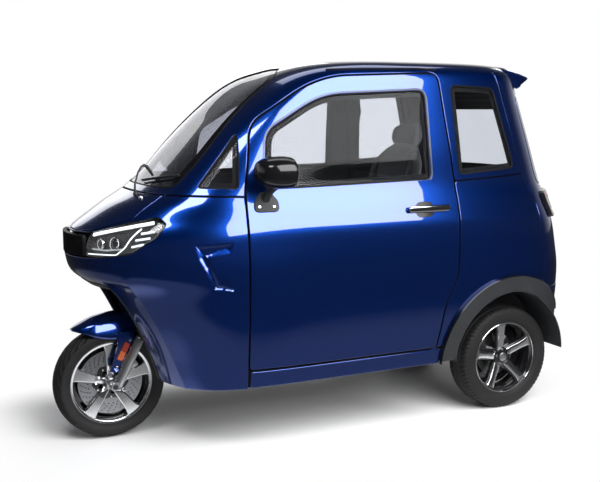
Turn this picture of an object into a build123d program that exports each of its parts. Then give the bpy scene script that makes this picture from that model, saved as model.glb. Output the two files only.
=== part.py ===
from build123d import *
from math import cos, radians, sin
import os

# Three-wheeled electric cabin scooter. Millimetres, +Z up, nose towards -X, left side towards -Y.
# The origin is on the ground, midway between the front tyre's tread and the rear bumper.

# Wheels and stance
WHEELBASE = 1816.0
FRONT_AXLE_X = -988.0
REAR_AXLE_X = FRONT_AXLE_X + WHEELBASE
REAR_TRACK = 800.0
FRONT_TYRE_RADIUS = 245.0
FRONT_TYRE_WIDTH = 128.0
FRONT_RIM_RADIUS = 183.0
FRONT_RIM_WIDTH = 92.0
REAR_TYRE_RADIUS = 248.0
REAR_TYRE_WIDTH = 145.0
REAR_RIM_RADIUS = 172.0
REAR_RIM_WIDTH = 116.0

# Body
BELT_Z = 1100.0
BUMPER_Z = 745.0
BODY_WALL = 30.0
NOSE_TIP_Z = 865.0
TRIM_STAND = 12.0
BUMPER_STAND = 3.0
CHIN_STAND = 2.0
DOOR_GAP = 8.0
GLASS_INSET = 5.0
GLASS_THICKNESS = 6.0
WELL_WALL = 5.0
FLOOR_Z = 330.0
FLOOR_THICKNESS = 20.0
ARCH_X = 805.0
ARCH_Z = 275.0
ARCH_RADIUS = 312.0
FLARE_WIDTH = 74.0
FLARE_STAND = 16.0

# Steering
RAKE = 27.5
TRAIL_OFFSET = 32.0

# Fits
RUN = 0.05
SEAT_GAP = 0.3

# Body sections, bottom to top. Each is a closed outline that bulges fore and aft of x_mid.
# Columns: z, x_front, x_rear, half_width, x_mid, wrap_front, flat_front, wrap_rear, flat_rear.
# wrap is the outline's exponent across the width and flat its exponent along the length.
SHIELD_SECTIONS = [
    (275, -838, 1195, 505, 0, 2.3, 6.0, 5.0, 5.5),
    (400, -880, 1215, 522, 0, 2.3, 4.6, 5.0, 5.5),
    (550, -955, 1228, 537, 0, 2.2, 3.8, 5.0, 5.5),
    (680, -1048, 1230, 545, 0, 2.1, 3.2, 4.8, 5.5),
    (BUMPER_Z, -1130, 1228, 546, 0, 2.0, 3.0, 4.6, 5.2),
]
NOSE_SECTIONS = [
    SHIELD_SECTIONS[-1],
    (800, -1152, 1222, 546, 0, 2.0, 2.9, 4.5, 5.0),
    (865, -1158, 1212, 543, 0, 2.0, 2.8, 4.4, 5.0),
    (925, -1136, 1200, 538, 0, 2.0, 2.8, 4.2, 5.0),
    (980, -1062, 1186, 528, 0, 2.1, 2.9, 4.0, 4.8),
    (1040, -962, 1168, 515, 0, 2.4, 3.1, 4.0, 4.6),
    (BELT_Z, -850, 1147, 500, 0, 2.9, 3.4, 4.0, 4.4),
]
CAB_SECTIONS = [
    NOSE_SECTIONS[-1],
    (1250, -690, 1098, 482, 0, 3.4, 3.6, 4.0, 4.4),
    (1400, -530, 1050, 462, 0, 3.6, 3.8, 4.0, 4.4),
    (1520, -380, 1015, 446, 50, 3.8, 4.0, 4.0, 4.2),
    (1590, -255, 1000, 428, 100, 4.0, 4.0, 4.0, 4.0),
    (1630, -140, 970, 380, 200, 3.6, 3.6, 3.6, 3.6),
    (1655, 40, 850, 270, 350, 3.0, 3.0, 3.0, 3.0),
]
BODY_BOTTOM_Z = SHIELD_SECTIONS[0][0]
BODY_SECTIONS = SHIELD_SECTIONS + NOSE_SECTIONS[1:] + CAB_SECTIONS[1:]
BIG = 2000.0
CUT_DEPTH = 760.0
AHEAD_X = -1300.0
BEHIND_X = 1300.0
ABOVE_Z = 1800.0
SIDE_INNER_Y = 300.0

# Outlines seen from the left side. Columns: x, z, corner radius.
DOOR_FRONT_X = -520.0
DOOR_BOTTOM_Z = 361.0
DOOR_OUTLINE = [
    (DOOR_FRONT_X, DOOR_BOTTOM_Z, 14),
    (DOOR_FRONT_X, 1085, 500),
    (-470, 1372, 150),
    (-170, 1570, 500),
    (417, 1593, 40),
    (480, 1130, 400),
    (490, 950, 500),
    (482, 685, 110),
    (422, 560, 160),
    (388, DOOR_BOTTOM_Z, 14),
]
DOOR_WINDOW = [
    (-445, 1108, 24),
    (-415, 1345, 110),
    (-170, 1494, 400),
    (348, 1518, 46),
    (359, 1126, 24),
]
QUARTER_LIGHT = [
    (-700, 1116, 8),
    (-548, 1112, 14),
    (-519, 1342, 8),
]
REAR_SIDE_WINDOW = [
    (512, 1142, 22),
    (488, 1542, 26),
    (742, 1532, 50),
    (850, 1162, 24),
]
CAB_OUTLINE = [
    (AHEAD_X, 1097, 0),
    (DOOR_FRONT_X, 1080, 0),
    (480, 1113, 0),
    (BEHIND_X, 1150, 0),
    (BEHIND_X, ABOVE_Z, 0),
    (AHEAD_X, ABOVE_Z, 0),
]
ROOF_SPLIT_Z = 1602.0
BUMPER_TOP_Z = 583.0
BUMPER_BOTTOM_Z = 325.0
BUMPER_FRONT_X = 1000.0
TAIL_OUTLINE = [
    (762, ROOF_SPLIT_Z, 0),
    (905, 1140, 300),
    (980, 1000, 160),
    (1022, BUMPER_Z, 300),
    (1006, BUMPER_TOP_Z, 0),
    (BEHIND_X, BUMPER_TOP_Z, 0),
    (BEHIND_X, ROOF_SPLIT_Z, 0),
]
BUMPER_OUTLINE = [
    (BUMPER_FRONT_X, BUMPER_BOTTOM_Z, 0),
    (BUMPER_FRONT_X, BUMPER_TOP_Z, 0),
    (BEHIND_X, BUMPER_TOP_Z, 0),
    (BEHIND_X, BUMPER_BOTTOM_Z, 0),
]
SILL_REAR_X = 480.0
QUARTER_FRONT_X = 300.0

# Outlines seen from the front or the rear, right half. Columns: y, z, corner radius.
WINDSCREEN_HALF = [
    (300, 1112, 30),
    (318, 1240, 400),
    (252, 1572, 90),
    (60, 1618, 150),
]
WINDSCREEN_REAR_X = -185.0
HOOD_REAR_X = -560.0
LAMP_REAR_X = -760.0
GRILLE_REAR_X = -900.0
TAILGATE_FRONT_X = 860.0
TAIL_LAMP_FRONT_X = 1060.0
HOOD_HALF = [
    (292, 1150, 0),
    (284, 988, 12),
    (172, 938, 30),
    (60, 931, 0),
]
HEADLAMP = [
    (171, 936, 6),
    (352, 1003, 22),
    (386, 975, 22),
    (392, 925, 24),
    (345, 855, 40),
    (240, 832, 120),
    (171, 838, 6),
]
GRILLE_HALF = [
    (170, 826, 4),
    (170, 924, 4),
]
TAILGATE_HALF = [
    (285, 690, 40),
    (292, 1066, 24),
    (388, 1078, 26),
    (345, 1500, 50),
]
REAR_GLASS_HALF = [
    (352, 1106, 26),
    (316, 1478, 40),
]
TAIL_LAMP = [
    (304, 913, 12),
    (304, 1041, 12),
    (480, 1041, 12),
    (480, 913, 12),
]
ROOF_LIP = [
    (860, 1652, 0),
    (965, 1631, 160),
    (1062, 1598, 4),
    (1060, 1586, 4),
    (985, 1566, 0),
    (940, ROOF_SPLIT_Z, 0),
]
LIP_HALF_WIDTH = 330.0

# Pin hinges in the gaps at the doors' front edges and along the tailgate's top edge
DOOR_AXIS_X = DOOR_FRONT_X - DOOR_GAP / 2
DOOR_AXIS_Y = -517.0
DOOR_HINGE_BOTTOM_Z = 600.0
DOOR_HINGE_TOP_Z = 890.0
TAILGATE_TOP_Z = 1500.0
TAILGATE_AXIS_X = 1021.0
TAILGATE_AXIS_Z = TAILGATE_TOP_Z + DOOR_GAP / 2
TAILGATE_HINGE_HALF = 120.0
HINGE_KNUCKLES = 5
HINGE_LEAF = 14.0
HINGE_PIN_RADIUS = 2.0
HINGE_KNUCKLE_RADIUS = 3.7

# Steering axis: the way up it and the way square to it, backwards
UP_AXIS = Vector(sin(radians(RAKE)), 0, cos(radians(RAKE)))
BACK_AXIS = Vector(cos(radians(RAKE)), 0, -sin(radians(RAKE)))
STEER_ORIGIN = Vector(FRONT_AXLE_X, 0, FRONT_TYRE_RADIUS) + BACK_AXIS * TRAIL_OFFSET
LEG_BACK = -18.0
LEG_Y = 92.0
SLIDER_RADIUS = 21.0
STANCHION_RADIUS = 15.0
SLIDER_TOP = 236.0
YOKE_BOTTOM = 425.0
YOKE_TOP = 450.0
HEAD_BOTTOM = 480.0
HEAD_TOP = 640.0
HEAD_RADIUS = 30.0
STEM_RADIUS = 15.0
STEM_TOP = 895.0
AXLE_RADIUS = 7.5

# Mudguard sections, tip to tail. Columns: x, z of the edge, z of the crest, half width.
MUDGUARD_SECTIONS = [
    (-1152, 486, 494, 14),
    (-1110, 482, 517, 60),
    (-1034, 457, 546, 77),
    (-961, 446, 560, 77),
    (-925, 470, 560, 70.4),
    (-890, 476, 556, 70.4),
    (-820, 478, 528, 70.4),
]
MUDGUARD_WALL = 4.0
STAY_Y = 78.0

# Seats seen from the left. Columns: x, z, corner radius.
DRIVER_SEAT = [
    (-70, 575, 25),
    (-80, 655, 35),
    (330, 640, 60),
    (445, 1080, 300),
    (540, 1435, 30),
    (620, 1428, 30),
    (560, 1080, 300),
    (470, 575, 40),
]
DRIVER_SEAT_HALF = [
    (225, 565, 20),
    (238, 1000, 60),
    (205, 1190, 90),
    (118, 1300, 60),
    (105, 1445, 50),
]
REAR_SEAT = [
    (600, 562, 25),
    (592, 640, 35),
    (960, 625, 50),
    (1010, 1030, 30),
    (1070, 1030, 30),
    (1064, 562, 25),
]
REAR_SEAT_HALF_WIDTH = 270.0
SEAT_BOX_X = (-40.0, 440.0)
REAR_BOX_X = (600.0, 1060.0)
BOX_WALL = 4.0

# Running gear
RAIL_INNER_Y = 215.0
RAIL_OUTER_Y = 265.0
RAIL_BOTTOM_Z = 290.0
CROSS_MEMBERS_X = (-200.0, 300.0, 640.0, 1100.0)
AXLE_TUBE_RADIUS = 30.0
STUB_RADIUS = 12.0
SPRING_HALF_SPAN = 268.0
SPRING_THICKNESS = 8.0
STUB_END_Y = -438.0

# Wheels
SPOKES = 5
SPOKE_START = 90.0
BARREL_WALL = 9.0
TREAD_FALL = 13.0
TREAD_IN = 9.0
FRONT_PLATE_RADIUS = 140.0
FRONT_DISC_RADIUS = 110.0
REAR_DISC_RADIUS = 105.0
REAR_CALIPER_ARM = [(700, 262, 8), (704, 318, 8), (760, 330, 8), (850, 270, 8), (850, 228, 8), (800, 228, 8)]
REAR_CALIPER = [(700, 262, 8), (704, 318, 8), (745, 335, 8), (752, 262, 8)]

# Handlebar seen from its clamp. Columns: back, across, up.
HANDLEBAR_PATH = [
    (170, -300, 24),
    (62, -205, 46),
    (0, -70, 0),
]

# Openings and clearances
OPENING_HALF_WIDTH = 205.0
OPENING_TOP_Z = 714.0
LIP_BOTTOM_Z = 690.0
WELL_REAR_X = -680.0
WELL_ROOF_Z = 707.0
SEAM = 0.4

os.makedirs("parts", exist_ok=True)
volumes = {}


def save(piece, name):
    """Labels a finished piece and writes it as its own file."""
    piece.label = name
    export_step(piece, f"parts/{name}.step")


def outline_point(row, inset, turn, front):
    """A point of a body section, turn degrees round from its nose or tail towards its side."""
    z, x_front, x_rear, half_width, x_mid, wrap_front, flat_front, wrap_rear, flat_rear = row
    wrap, flat = (wrap_front, flat_front) if front else (wrap_rear, flat_rear)
    reach = (x_front + inset if front else x_rear - inset) - x_mid
    x = x_mid + reach * abs(cos(radians(turn))) ** (2 / flat)
    y = (half_width - inset) * abs(sin(radians(turn))) ** (2 / wrap)
    return x, y


def body_section(row, inset):
    """One horizontal outline: arcs round the nose, the corners, the sides and the tail.

    Drawn in, it also drops, but not between the bottom and the nose's tip.
    """
    turns = [0, 22.5, 45, 67.5, 90]
    front = [outline_point(row, inset, turn, True) for turn in turns]
    rear = [outline_point(row, inset, turn, False) for turn in reversed(turns)]
    right = front + rear[1:]
    left = [(x, -y) for x, y in reversed(right[1:-1])]
    loop = left[-1:] + right + left
    level = row[0] if BODY_BOTTOM_Z < row[0] <= NOSE_TIP_Z else row[0] - inset
    with BuildSketch(Plane.XY.offset(level)) as section:
        with BuildLine():
            for start in range(0, len(loop) - 1, 2):
                ThreePointArc(loop[start], loop[start + 1], loop[start + 2])
        make_face()
    return section.sketch


def body_volume(inset=0.0):
    """The whole body as a solid, drawn in by inset at its sides and its roof."""
    if inset not in volumes:
        with BuildPart() as volume:
            loft([body_section(row, inset) for row in BODY_SECTIONS], ruled=True)
        volumes[inset] = volume.part
    return volumes[inset]


def face(corners, plane, grow=0.0):
    """A closed outline with rounded corners, from rows of across, up and corner radius."""
    points = [(across, up) for across, up, radius in corners]
    radii = [radius for across, up, radius in corners]
    with BuildSketch(plane) as outline:
        with BuildLine():
            FilletPolyline(*points, radius=radii, close=True)
        make_face()
        if grow:
            offset(amount=grow, kind=Kind.INTERSECTION)
    return outline.sketch


def side_prism(corners, grow=0.0):
    """An outline seen from the left, run from the middle out past the left side."""
    with BuildPart() as prism:
        extrude(face(corners, Plane.XZ, grow), amount=CUT_DEPTH)
    return prism.part


def both_sides_prism(corners, grow=0.0):
    """An outline seen from the left, run out past both sides."""
    with BuildPart() as prism:
        extrude(face(corners, Plane.XZ, grow), amount=CUT_DEPTH, both=True)
    return prism.part


def end_prism(corners, x_from, x_to, grow=0.0):
    """An outline seen from the front or the rear, run between two places along the body."""
    with BuildPart() as prism:
        extrude(face(corners, Plane.YZ.offset(x_from), grow), amount=x_to - x_from)
    return prism.part


def mirrored(half):
    """A whole outline from its right half."""
    return half + [(-across, up, radius) for across, up, radius in reversed(half)]


def block(x_from, x_to, y_from, y_to, z_from, z_to):
    """A plain box between two corners."""
    with BuildPart() as box:
        with Locations(((x_from + x_to) / 2, (y_from + y_to) / 2, (z_from + z_to) / 2)):
            Box(x_to - x_from, y_to - y_from, z_to - z_from)
    return box.part


def layer(prism, outer_inset, inner_inset):
    """What a prism cuts from the skin between two depths."""
    outer = body_volume(outer_inset)
    inner = body_volume(inner_inset)
    with BuildPart() as piece:
        add(outer)
        add(prism, mode=Mode.INTERSECT)
        add(inner, mode=Mode.SUBTRACT)
    return piece.part


def carve(piece, keep=(), drop=()):
    """A solid cut down to each keep solid and cleared of each drop solid."""
    with BuildPart() as carved:
        add(piece)
        for tool in keep:
            add(tool, mode=Mode.INTERSECT)
        for tool in drop:
            add(tool, mode=Mode.SUBTRACT)
    return carved.part


def with_mirror(piece):
    """A left-hand piece and its right-hand twin in one node."""
    with BuildPart() as pair:
        add(piece)
        mirror(about=Plane.XZ)
    return pair.part


def other_hand(piece):
    """The right-hand twin of a left-hand piece."""
    with BuildPart() as twin:
        add(mirror(piece, about=Plane.XZ))
    return twin.part


def rod(start, end, radius):
    """A round bar between two points."""
    way = Vector(*end) - Vector(*start)
    with BuildPart() as bar:
        with BuildSketch(Plane(origin=start, z_dir=way)):
            Circle(radius)
        extrude(amount=way.length)
    return bar.part


# Body shell and the cuts that part it into panels
OUTER = body_volume()
CAVITY = body_volume(BODY_WALL)
CAVITY_FIT = body_volume(BODY_WALL + SEAT_GAP)
SHELL = carve(OUTER, drop=[CAVITY])

door_cut = side_prism(DOOR_OUTLINE, DOOR_GAP)
door_cuts = with_mirror(door_cut)
above_belt = both_sides_prism(CAB_OUTLINE)
above_belt_seam = both_sides_prism(CAB_OUTLINE, SEAM)
tail = both_sides_prism(TAIL_OUTLINE)
tail_seam = both_sides_prism(TAIL_OUTLINE, SEAM)
bumper_zone = both_sides_prism(BUMPER_OUTLINE)
bumper_seam = both_sides_prism(BUMPER_OUTLINE, SEAM)
roof_zone = block(-BIG, BIG, -BIG, BIG, ROOF_SPLIT_Z, BIG)
roof_seam = block(-BIG, BIG, -BIG, BIG, ROOF_SPLIT_Z - SEAM, BIG)
nose_zone = block(-BIG, DOOR_FRONT_X - DOOR_GAP, -BIG, BIG, 0, BIG)
screen = end_prism(mirrored(WINDSCREEN_HALF), AHEAD_X, WINDSCREEN_REAR_X)
hood_zone = end_prism(mirrored(HOOD_HALF), AHEAD_X, HOOD_REAR_X)
hood_seam = end_prism(mirrored(HOOD_HALF), AHEAD_X, HOOD_REAR_X, SEAM)
lamp_zone = end_prism(HEADLAMP, AHEAD_X, LAMP_REAR_X)
lamp_seam = end_prism(HEADLAMP, AHEAD_X, LAMP_REAR_X, SEAM)
grille_zone = end_prism(mirrored(GRILLE_HALF), AHEAD_X, GRILLE_REAR_X)
grille_seam = end_prism(mirrored(GRILLE_HALF), AHEAD_X, GRILLE_REAR_X, SEAM)
tailgate_zone = end_prism(mirrored(TAILGATE_HALF), TAILGATE_FRONT_X, BEHIND_X)
tailgate_cut = end_prism(mirrored(TAILGATE_HALF), TAILGATE_FRONT_X, BEHIND_X, DOOR_GAP)
rear_glass_zone = end_prism(mirrored(REAR_GLASS_HALF), TAILGATE_FRONT_X, BEHIND_X)
lamp_tail_zone = end_prism(TAIL_LAMP, TAIL_LAMP_FRONT_X, BEHIND_X)
lamp_tail_seam = end_prism(TAIL_LAMP, TAIL_LAMP_FRONT_X - SEAM, BEHIND_X, SEAM)
wheel_opening = block(-BIG, WELL_REAR_X, -OPENING_HALF_WIDTH, OPENING_HALF_WIDTH, 0, OPENING_TOP_Z)

with BuildPart() as arch_cut:
    with BuildSketch(Plane.XZ) as arch_circle:
        with Locations((ARCH_X, ARCH_Z)):
            Circle(ARCH_RADIUS + FLARE_WIDTH + SEAM)
    extrude(amount=CUT_DEPTH, both=True)

# Panels
middle_room = block(-BIG, BIG, -SIDE_INNER_Y, SIDE_INNER_Y, 0, BIG)
front_cowl = carve(SHELL, [nose_zone],
                   [above_belt_seam, wheel_opening, hood_seam, lamp_seam, mirror(lamp_seam, about=Plane.XZ),
                    grille_seam])

hood = carve(SHELL, [hood_zone], [above_belt_seam])
save(hood, "hood_panel")

grille = carve(SHELL, [grille_zone], [])
save(grille, "front_grille")

headlamp = carve(SHELL, [lamp_zone], [])
save(with_mirror(headlamp), "headlamps")

sill_zone = block(DOOR_FRONT_X - DOOR_GAP + SEAM, SILL_REAR_X, -BIG, BIG, 0, DOOR_BOTTOM_Z - DOOR_GAP)
sills = carve(SHELL, [sill_zone], [arch_cut.part, middle_room])
save(sills, "sills")

quarter_zone = block(QUARTER_FRONT_X, BIG, -BIG, BIG, 0, BIG)
rear_quarters = carve(SHELL, [quarter_zone],
                      [above_belt_seam, door_cuts, tail_seam, bumper_seam, arch_cut.part,
                       block(-BIG, SILL_REAR_X + SEAM, -BIG, BIG, 0, DOOR_BOTTOM_Z - DOOR_GAP + SEAM),
                       middle_room])
save(rear_quarters, "rear_quarters")

tail_surround = carve(SHELL, [tail],
                      [tailgate_cut, lamp_tail_seam, mirror(lamp_tail_seam, about=Plane.XZ), arch_cut.part])

bumper = layer(bumper_zone, -BUMPER_STAND, BODY_WALL)
save(carve(bumper, [], [arch_cut.part]), "rear_bumper")

quarter_light_hole = with_mirror(side_prism(QUARTER_LIGHT))
rear_window_hole = with_mirror(side_prism(REAR_SIDE_WINDOW))
cab_frame = carve(SHELL, [above_belt],
                  [roof_seam, door_cuts, tail_seam, screen, quarter_light_hole, rear_window_hole])
save(cab_frame, "cab_frame")
print("panels done")


def hinge_knuckles(start, end, first, bored):
    """Every second knuckle of a pin hinge. The half that holds the pin isn't bored."""
    way = (Vector(*end) - Vector(*start)) / HINGE_KNUCKLES
    pieces = []
    for knuckle in range(first, HINGE_KNUCKLES, 2):
        low = Vector(*start) + way * knuckle + way.normalized() * (SEAT_GAP / 2)
        high = Vector(*start) + way * (knuckle + 1) - way.normalized() * (SEAT_GAP / 2)
        barrel = rod(low, high, HINGE_KNUCKLE_RADIUS)
        bore = rod(low - way, high + way, HINGE_PIN_RADIUS + RUN)
        pieces.append((low, high, carve(barrel, [], [bore]) if bored else barrel))
    return pieces


def joined(pieces):
    """Solids that meet, as one."""
    with BuildPart() as whole:
        for piece in pieces:
            add(piece)
    return whole.part


def along(rise, back, y=0.0):
    """A point by its way up the steering axis, its way behind it and its y."""
    place = STEER_ORIGIN + UP_AXIS * rise + BACK_AXIS * back
    return Vector(place.X, y, place.Z)


def ring(plane, outer, inner, depth):
    """A flat ring or a tube."""
    with BuildPart() as hoop:
        with BuildSketch(plane):
            Circle(outer)
            Circle(inner, mode=Mode.SUBTRACT)
        extrude(amount=depth)
    return hoop.part


def slab(corners, y_from, y_to):
    """An outline seen from the left, with a thickness between two places across."""
    with BuildPart() as plate:
        extrude(face(corners, Plane.XZ.offset(-y_to)), amount=y_to - y_from)
    return plate.part


# Roof cap with the lip over the rear glass
lip_zone = carve(both_sides_prism(ROOF_LIP), [block(-BIG, BIG, -LIP_HALF_WIDTH, LIP_HALF_WIDTH, 0, BIG)])
lip_upper = carve(lip_zone, [roof_zone], [OUTER])
lip_lower = carve(lip_zone, [], [roof_zone, body_volume(-SEAM)])
roof_cap = carve(SHELL, [roof_zone], [screen])
save(joined([roof_cap, lip_upper, lip_lower]), "roof_cap")

# Glass
screen_glass = layer(screen, GLASS_INSET, GLASS_INSET + GLASS_THICKNESS)
save(screen_glass, "windscreen")
quarter_glass = layer(side_prism(QUARTER_LIGHT), GLASS_INSET, GLASS_INSET + GLASS_THICKNESS)
save(with_mirror(quarter_glass), "quarter_lights")
rear_side_glass = layer(side_prism(REAR_SIDE_WINDOW), GLASS_INSET, GLASS_INSET + GLASS_THICKNESS)
save(with_mirror(rear_side_glass), "rear_side_windows")

# Doors, the left one and its twin
door_low = (DOOR_AXIS_X, DOOR_AXIS_Y, DOOR_HINGE_BOTTOM_Z)
door_high = (DOOR_AXIS_X, DOOR_AXIS_Y, DOOR_HINGE_TOP_Z)
door_leaves = []
for low, high, barrel in hinge_knuckles(door_low, door_high, 1, True):
    leaf = block(DOOR_AXIS_X, DOOR_FRONT_X + SEAT_GAP, DOOR_AXIS_Y, DOOR_AXIS_Y + HINGE_LEAF, low.Z, high.Z)
    bore = rod(low, high, HINGE_KNUCKLE_RADIUS)
    door_leaves += [barrel, carve(leaf, [], [bore])]
door_skin = carve(SHELL, [side_prism(DOOR_OUTLINE)], [side_prism(DOOR_WINDOW)])
door_panel = joined([door_skin] + door_leaves)
door_glass = layer(side_prism(DOOR_WINDOW), GLASS_INSET, GLASS_INSET + GLASS_THICKNESS)
cowl_leaves = [rod(door_low, door_high, HINGE_PIN_RADIUS)]
for low, high, barrel in hinge_knuckles(door_low, door_high, 0, False):
    edge = DOOR_FRONT_X - DOOR_GAP - SEAT_GAP
    cowl_leaves += [barrel, block(edge, DOOR_AXIS_X, DOOR_AXIS_Y, DOOR_AXIS_Y + HINGE_LEAF, low.Z, high.Z)]
cowl_hinges = with_mirror(joined(cowl_leaves))
save(joined([front_cowl, cowl_hinges]), "front_cowl")

HANDLE_OUT = 26.0
HANDLE_IN = 15.0
HANDLE_BAR = [(218, 984, 11), (218, 1010, 11), (447, 1010, 11), (447, 984, 11)]
HANDLE_FEET = [[(x - 16, 988, 4), (x - 16, 1006, 4), (x + 16, 1006, 4), (x + 16, 988, 4)] for x in (245, 420)]
handle_bar = layer(side_prism(HANDLE_BAR), -HANDLE_OUT, -HANDLE_IN)
handle_feet = [layer(side_prism(foot), -HANDLE_IN - 1, -SEAT_GAP) for foot in HANDLE_FEET]
door_handle = joined([handle_bar] + handle_feet)

# Mirror: a pod on an arm from a foot on the door
MIRROR_FOOT = [(-505, 1024, 16), (-500, 1076, 16), (-440, 1076, 16), (-440, 1024, 16)]
MIRROR_SHELL = [(-500, 70, 40), (-478, 158, 88), (-440, 184, 108), (-400, 190, 114)]
MIRROR_CENTRE = (-620.0, 1190.0)
MIRROR_FOOT_STAND = 9.0
MIRROR_ARM = ((-470, -484, 1052), (-455, -560, 1150))
MIRROR_ARM_RADIUS = 13.0
POD_ROUNDING = 0.48
mirror_foot = layer(side_prism(MIRROR_FOOT), -MIRROR_FOOT_STAND, -SEAT_GAP)
pod_sections = []
for x, width, height in MIRROR_SHELL:
    with BuildSketch(Plane.YZ.offset(x)) as pod_section:
        with Locations(MIRROR_CENTRE):
            RectangleRounded(width, height, height * POD_ROUNDING)
    pod_sections.append(pod_section.sketch)
with BuildPart() as pod:
    loft(pod_sections)
mirror_arm = carve(rod(*MIRROR_ARM, MIRROR_ARM_RADIUS), [], [body_volume(-SEAT_GAP)])
door_mirror = joined([mirror_foot, pod.part, mirror_arm])

for side, hand in (("left", False), ("right", True)):
    for piece, name in ((door_panel, "door_panel"), (door_glass, "door_glass"),
                        (door_handle, "door_handle"), (door_mirror, "door_mirror")):
        save(other_hand(piece) if hand else piece, f"{name}_{side}")

# Tailgate, hung from the tail's top edge
gate_start = (TAILGATE_AXIS_X, -TAILGATE_HINGE_HALF, TAILGATE_AXIS_Z)
gate_end = (TAILGATE_AXIS_X, TAILGATE_HINGE_HALF, TAILGATE_AXIS_Z)
gate_leaves = []
for low, high, barrel in hinge_knuckles(gate_start, gate_end, 1, True):
    leaf = block(TAILGATE_AXIS_X - HINGE_LEAF, TAILGATE_AXIS_X, low.Y, high.Y,
                 TAILGATE_TOP_Z - SEAT_GAP, TAILGATE_AXIS_Z)
    gate_leaves += [barrel, carve(leaf, [], [rod(low, high, HINGE_KNUCKLE_RADIUS)])]
gate_skin = carve(SHELL, [tailgate_zone], [rear_glass_zone])
save(joined([gate_skin] + gate_leaves), "tailgate_panel")
save(layer(rear_glass_zone, GLASS_INSET, GLASS_INSET + GLASS_THICKNESS), "tailgate_glass")
tail_leaves = [rod(gate_start, gate_end, HINGE_PIN_RADIUS)]
for low, high, barrel in hinge_knuckles(gate_start, gate_end, 0, False):
    tail_leaves += [barrel, block(TAILGATE_AXIS_X - HINGE_LEAF, TAILGATE_AXIS_X, low.Y, high.Y,
                                  TAILGATE_AXIS_Z, TAILGATE_TOP_Z + DOOR_GAP + SEAT_GAP)]
save(joined([tail_surround] + tail_leaves), "tail_surround")

# Trim round the body
with BuildPart() as flare_zone:
    with BuildSketch(Plane.XZ):
        with Locations((ARCH_X, ARCH_Z)):
            Circle(ARCH_RADIUS + FLARE_WIDTH)
            Circle(ARCH_RADIUS, mode=Mode.SUBTRACT)
    extrude(amount=CUT_DEPTH)
flare_bound = block(-BIG, BIG, -BIG, -SIDE_INNER_Y, 0, BIG)
flare = carve(layer(flare_zone.part, -FLARE_STAND, BODY_WALL), [flare_bound])
save(with_mirror(flare), "wheel_flares")
tail_lamp = layer(lamp_tail_zone, -TRIM_STAND, BODY_WALL)
save(with_mirror(tail_lamp), "tail_lamps")
CHIN_REAR_X = -960.0
lip_block = block(AHEAD_X, CHIN_REAR_X, SEAM - OPENING_HALF_WIDTH, OPENING_HALF_WIDTH - SEAM, LIP_BOTTOM_Z,
                  OPENING_TOP_Z - SEAM)
save(layer(lip_block, -CHIN_STAND, BODY_WALL - CHIN_STAND), "chin_lip")

# Front wheel well
WELL_OUTSIDE = [(-1200, 285, 0), (-1200, 712, 0), (-770, 712, 0), (-675, 650, 0), (-675, 285, 0)]
WELL_INSIDE = [(-1210, 280, 0), (-1210, 707, 0), (-773, 707, 0), (-680, 647, 0), (-680, 280, 0)]
HEAD_ROOM = 6.0
head_clear = rod(along(HEAD_BOTTOM - 60, 0), along(STEM_TOP, 0), HEAD_RADIUS + HEAD_ROOM)
well_outside = slab(WELL_OUTSIDE, -OPENING_HALF_WIDTH - WELL_WALL, OPENING_HALF_WIDTH + WELL_WALL)
well_inside = slab(WELL_INSIDE, -OPENING_HALF_WIDTH, OPENING_HALF_WIDTH)
save(carve(well_outside, [CAVITY_FIT], [well_inside, head_clear]), "front_wheel_well")

# Rear wheel liners
LINER_WALL = 5.0
LINER_BACK = 4.0
LINER_OUTER_Y = -525.0
liner_depth = -SIDE_INNER_Y - LINER_OUTER_Y
liner_rings = []
for y_from, depth, inner in ((LINER_OUTER_Y, liner_depth, ARCH_RADIUS - LINER_WALL),
                             (-SIDE_INNER_Y - LINER_BACK, LINER_BACK, 0.0)):
    with BuildPart() as liner_ring:
        with BuildSketch(Plane.XZ.offset(-y_from - depth)):
            with Locations((ARCH_X, ARCH_Z)):
                Circle(ARCH_RADIUS - SEAT_GAP)
                if inner:
                    Circle(inner, mode=Mode.SUBTRACT)
        extrude(amount=depth)
    liner_rings.append(liner_ring.part)
above_axle = block(-BIG, BIG, -BIG, BIG, REAR_TYRE_RADIUS + AXLE_TUBE_RADIUS + LINER_BACK, BIG)
rear_liner = carve(joined(liner_rings), [above_axle])
save(with_mirror(rear_liner), "rear_wheel_liners")
print("trim done")

# Chassis: two rails, cross members, the steering head on its posts
RAIL_FRONT_X = -674.5
RAIL_REAR_X = 1140.0
RAIL_TOP_Z = FLOOR_Z - SEAT_GAP
POST_Y = (80.0, 110.0)
POST_REAR_X = -645.0
HEAD_PLATE_Z = (690.0, 745.0)
TOW_RADIUS = 8.0
TOW_DEPTH = 36.0
TOW_HALF_WIDTH = 30.0
CROSS_HALF = 20.0
frame_parts = [block(RAIL_FRONT_X, POST_REAR_X, -RAIL_OUTER_Y, RAIL_OUTER_Y, RAIL_BOTTOM_Z, RAIL_TOP_Z)]
for way in (-1, 1):
    rail_y = sorted((way * RAIL_INNER_Y, way * RAIL_OUTER_Y))
    post_y = sorted((way * POST_Y[0], way * POST_Y[1]))
    frame_parts.append(block(POST_REAR_X, RAIL_REAR_X, *rail_y, RAIL_BOTTOM_Z, RAIL_TOP_Z))
    frame_parts.append(block(RAIL_FRONT_X, POST_REAR_X, *post_y, RAIL_TOP_Z, HEAD_PLATE_Z[1]))
for x in CROSS_MEMBERS_X:
    frame_parts.append(block(x - CROSS_HALF, x + CROSS_HALF, -RAIL_INNER_Y, RAIL_INNER_Y,
                             RAIL_BOTTOM_Z + 5, RAIL_TOP_Z))
frame_parts.append(block(along(HEAD_BOTTOM + 60, 0).X, POST_REAR_X, -POST_Y[1], POST_Y[1], *HEAD_PLATE_Z))
frame_parts.append(rod(along(HEAD_BOTTOM, 0), along(HEAD_TOP, 0), HEAD_RADIUS))
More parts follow.
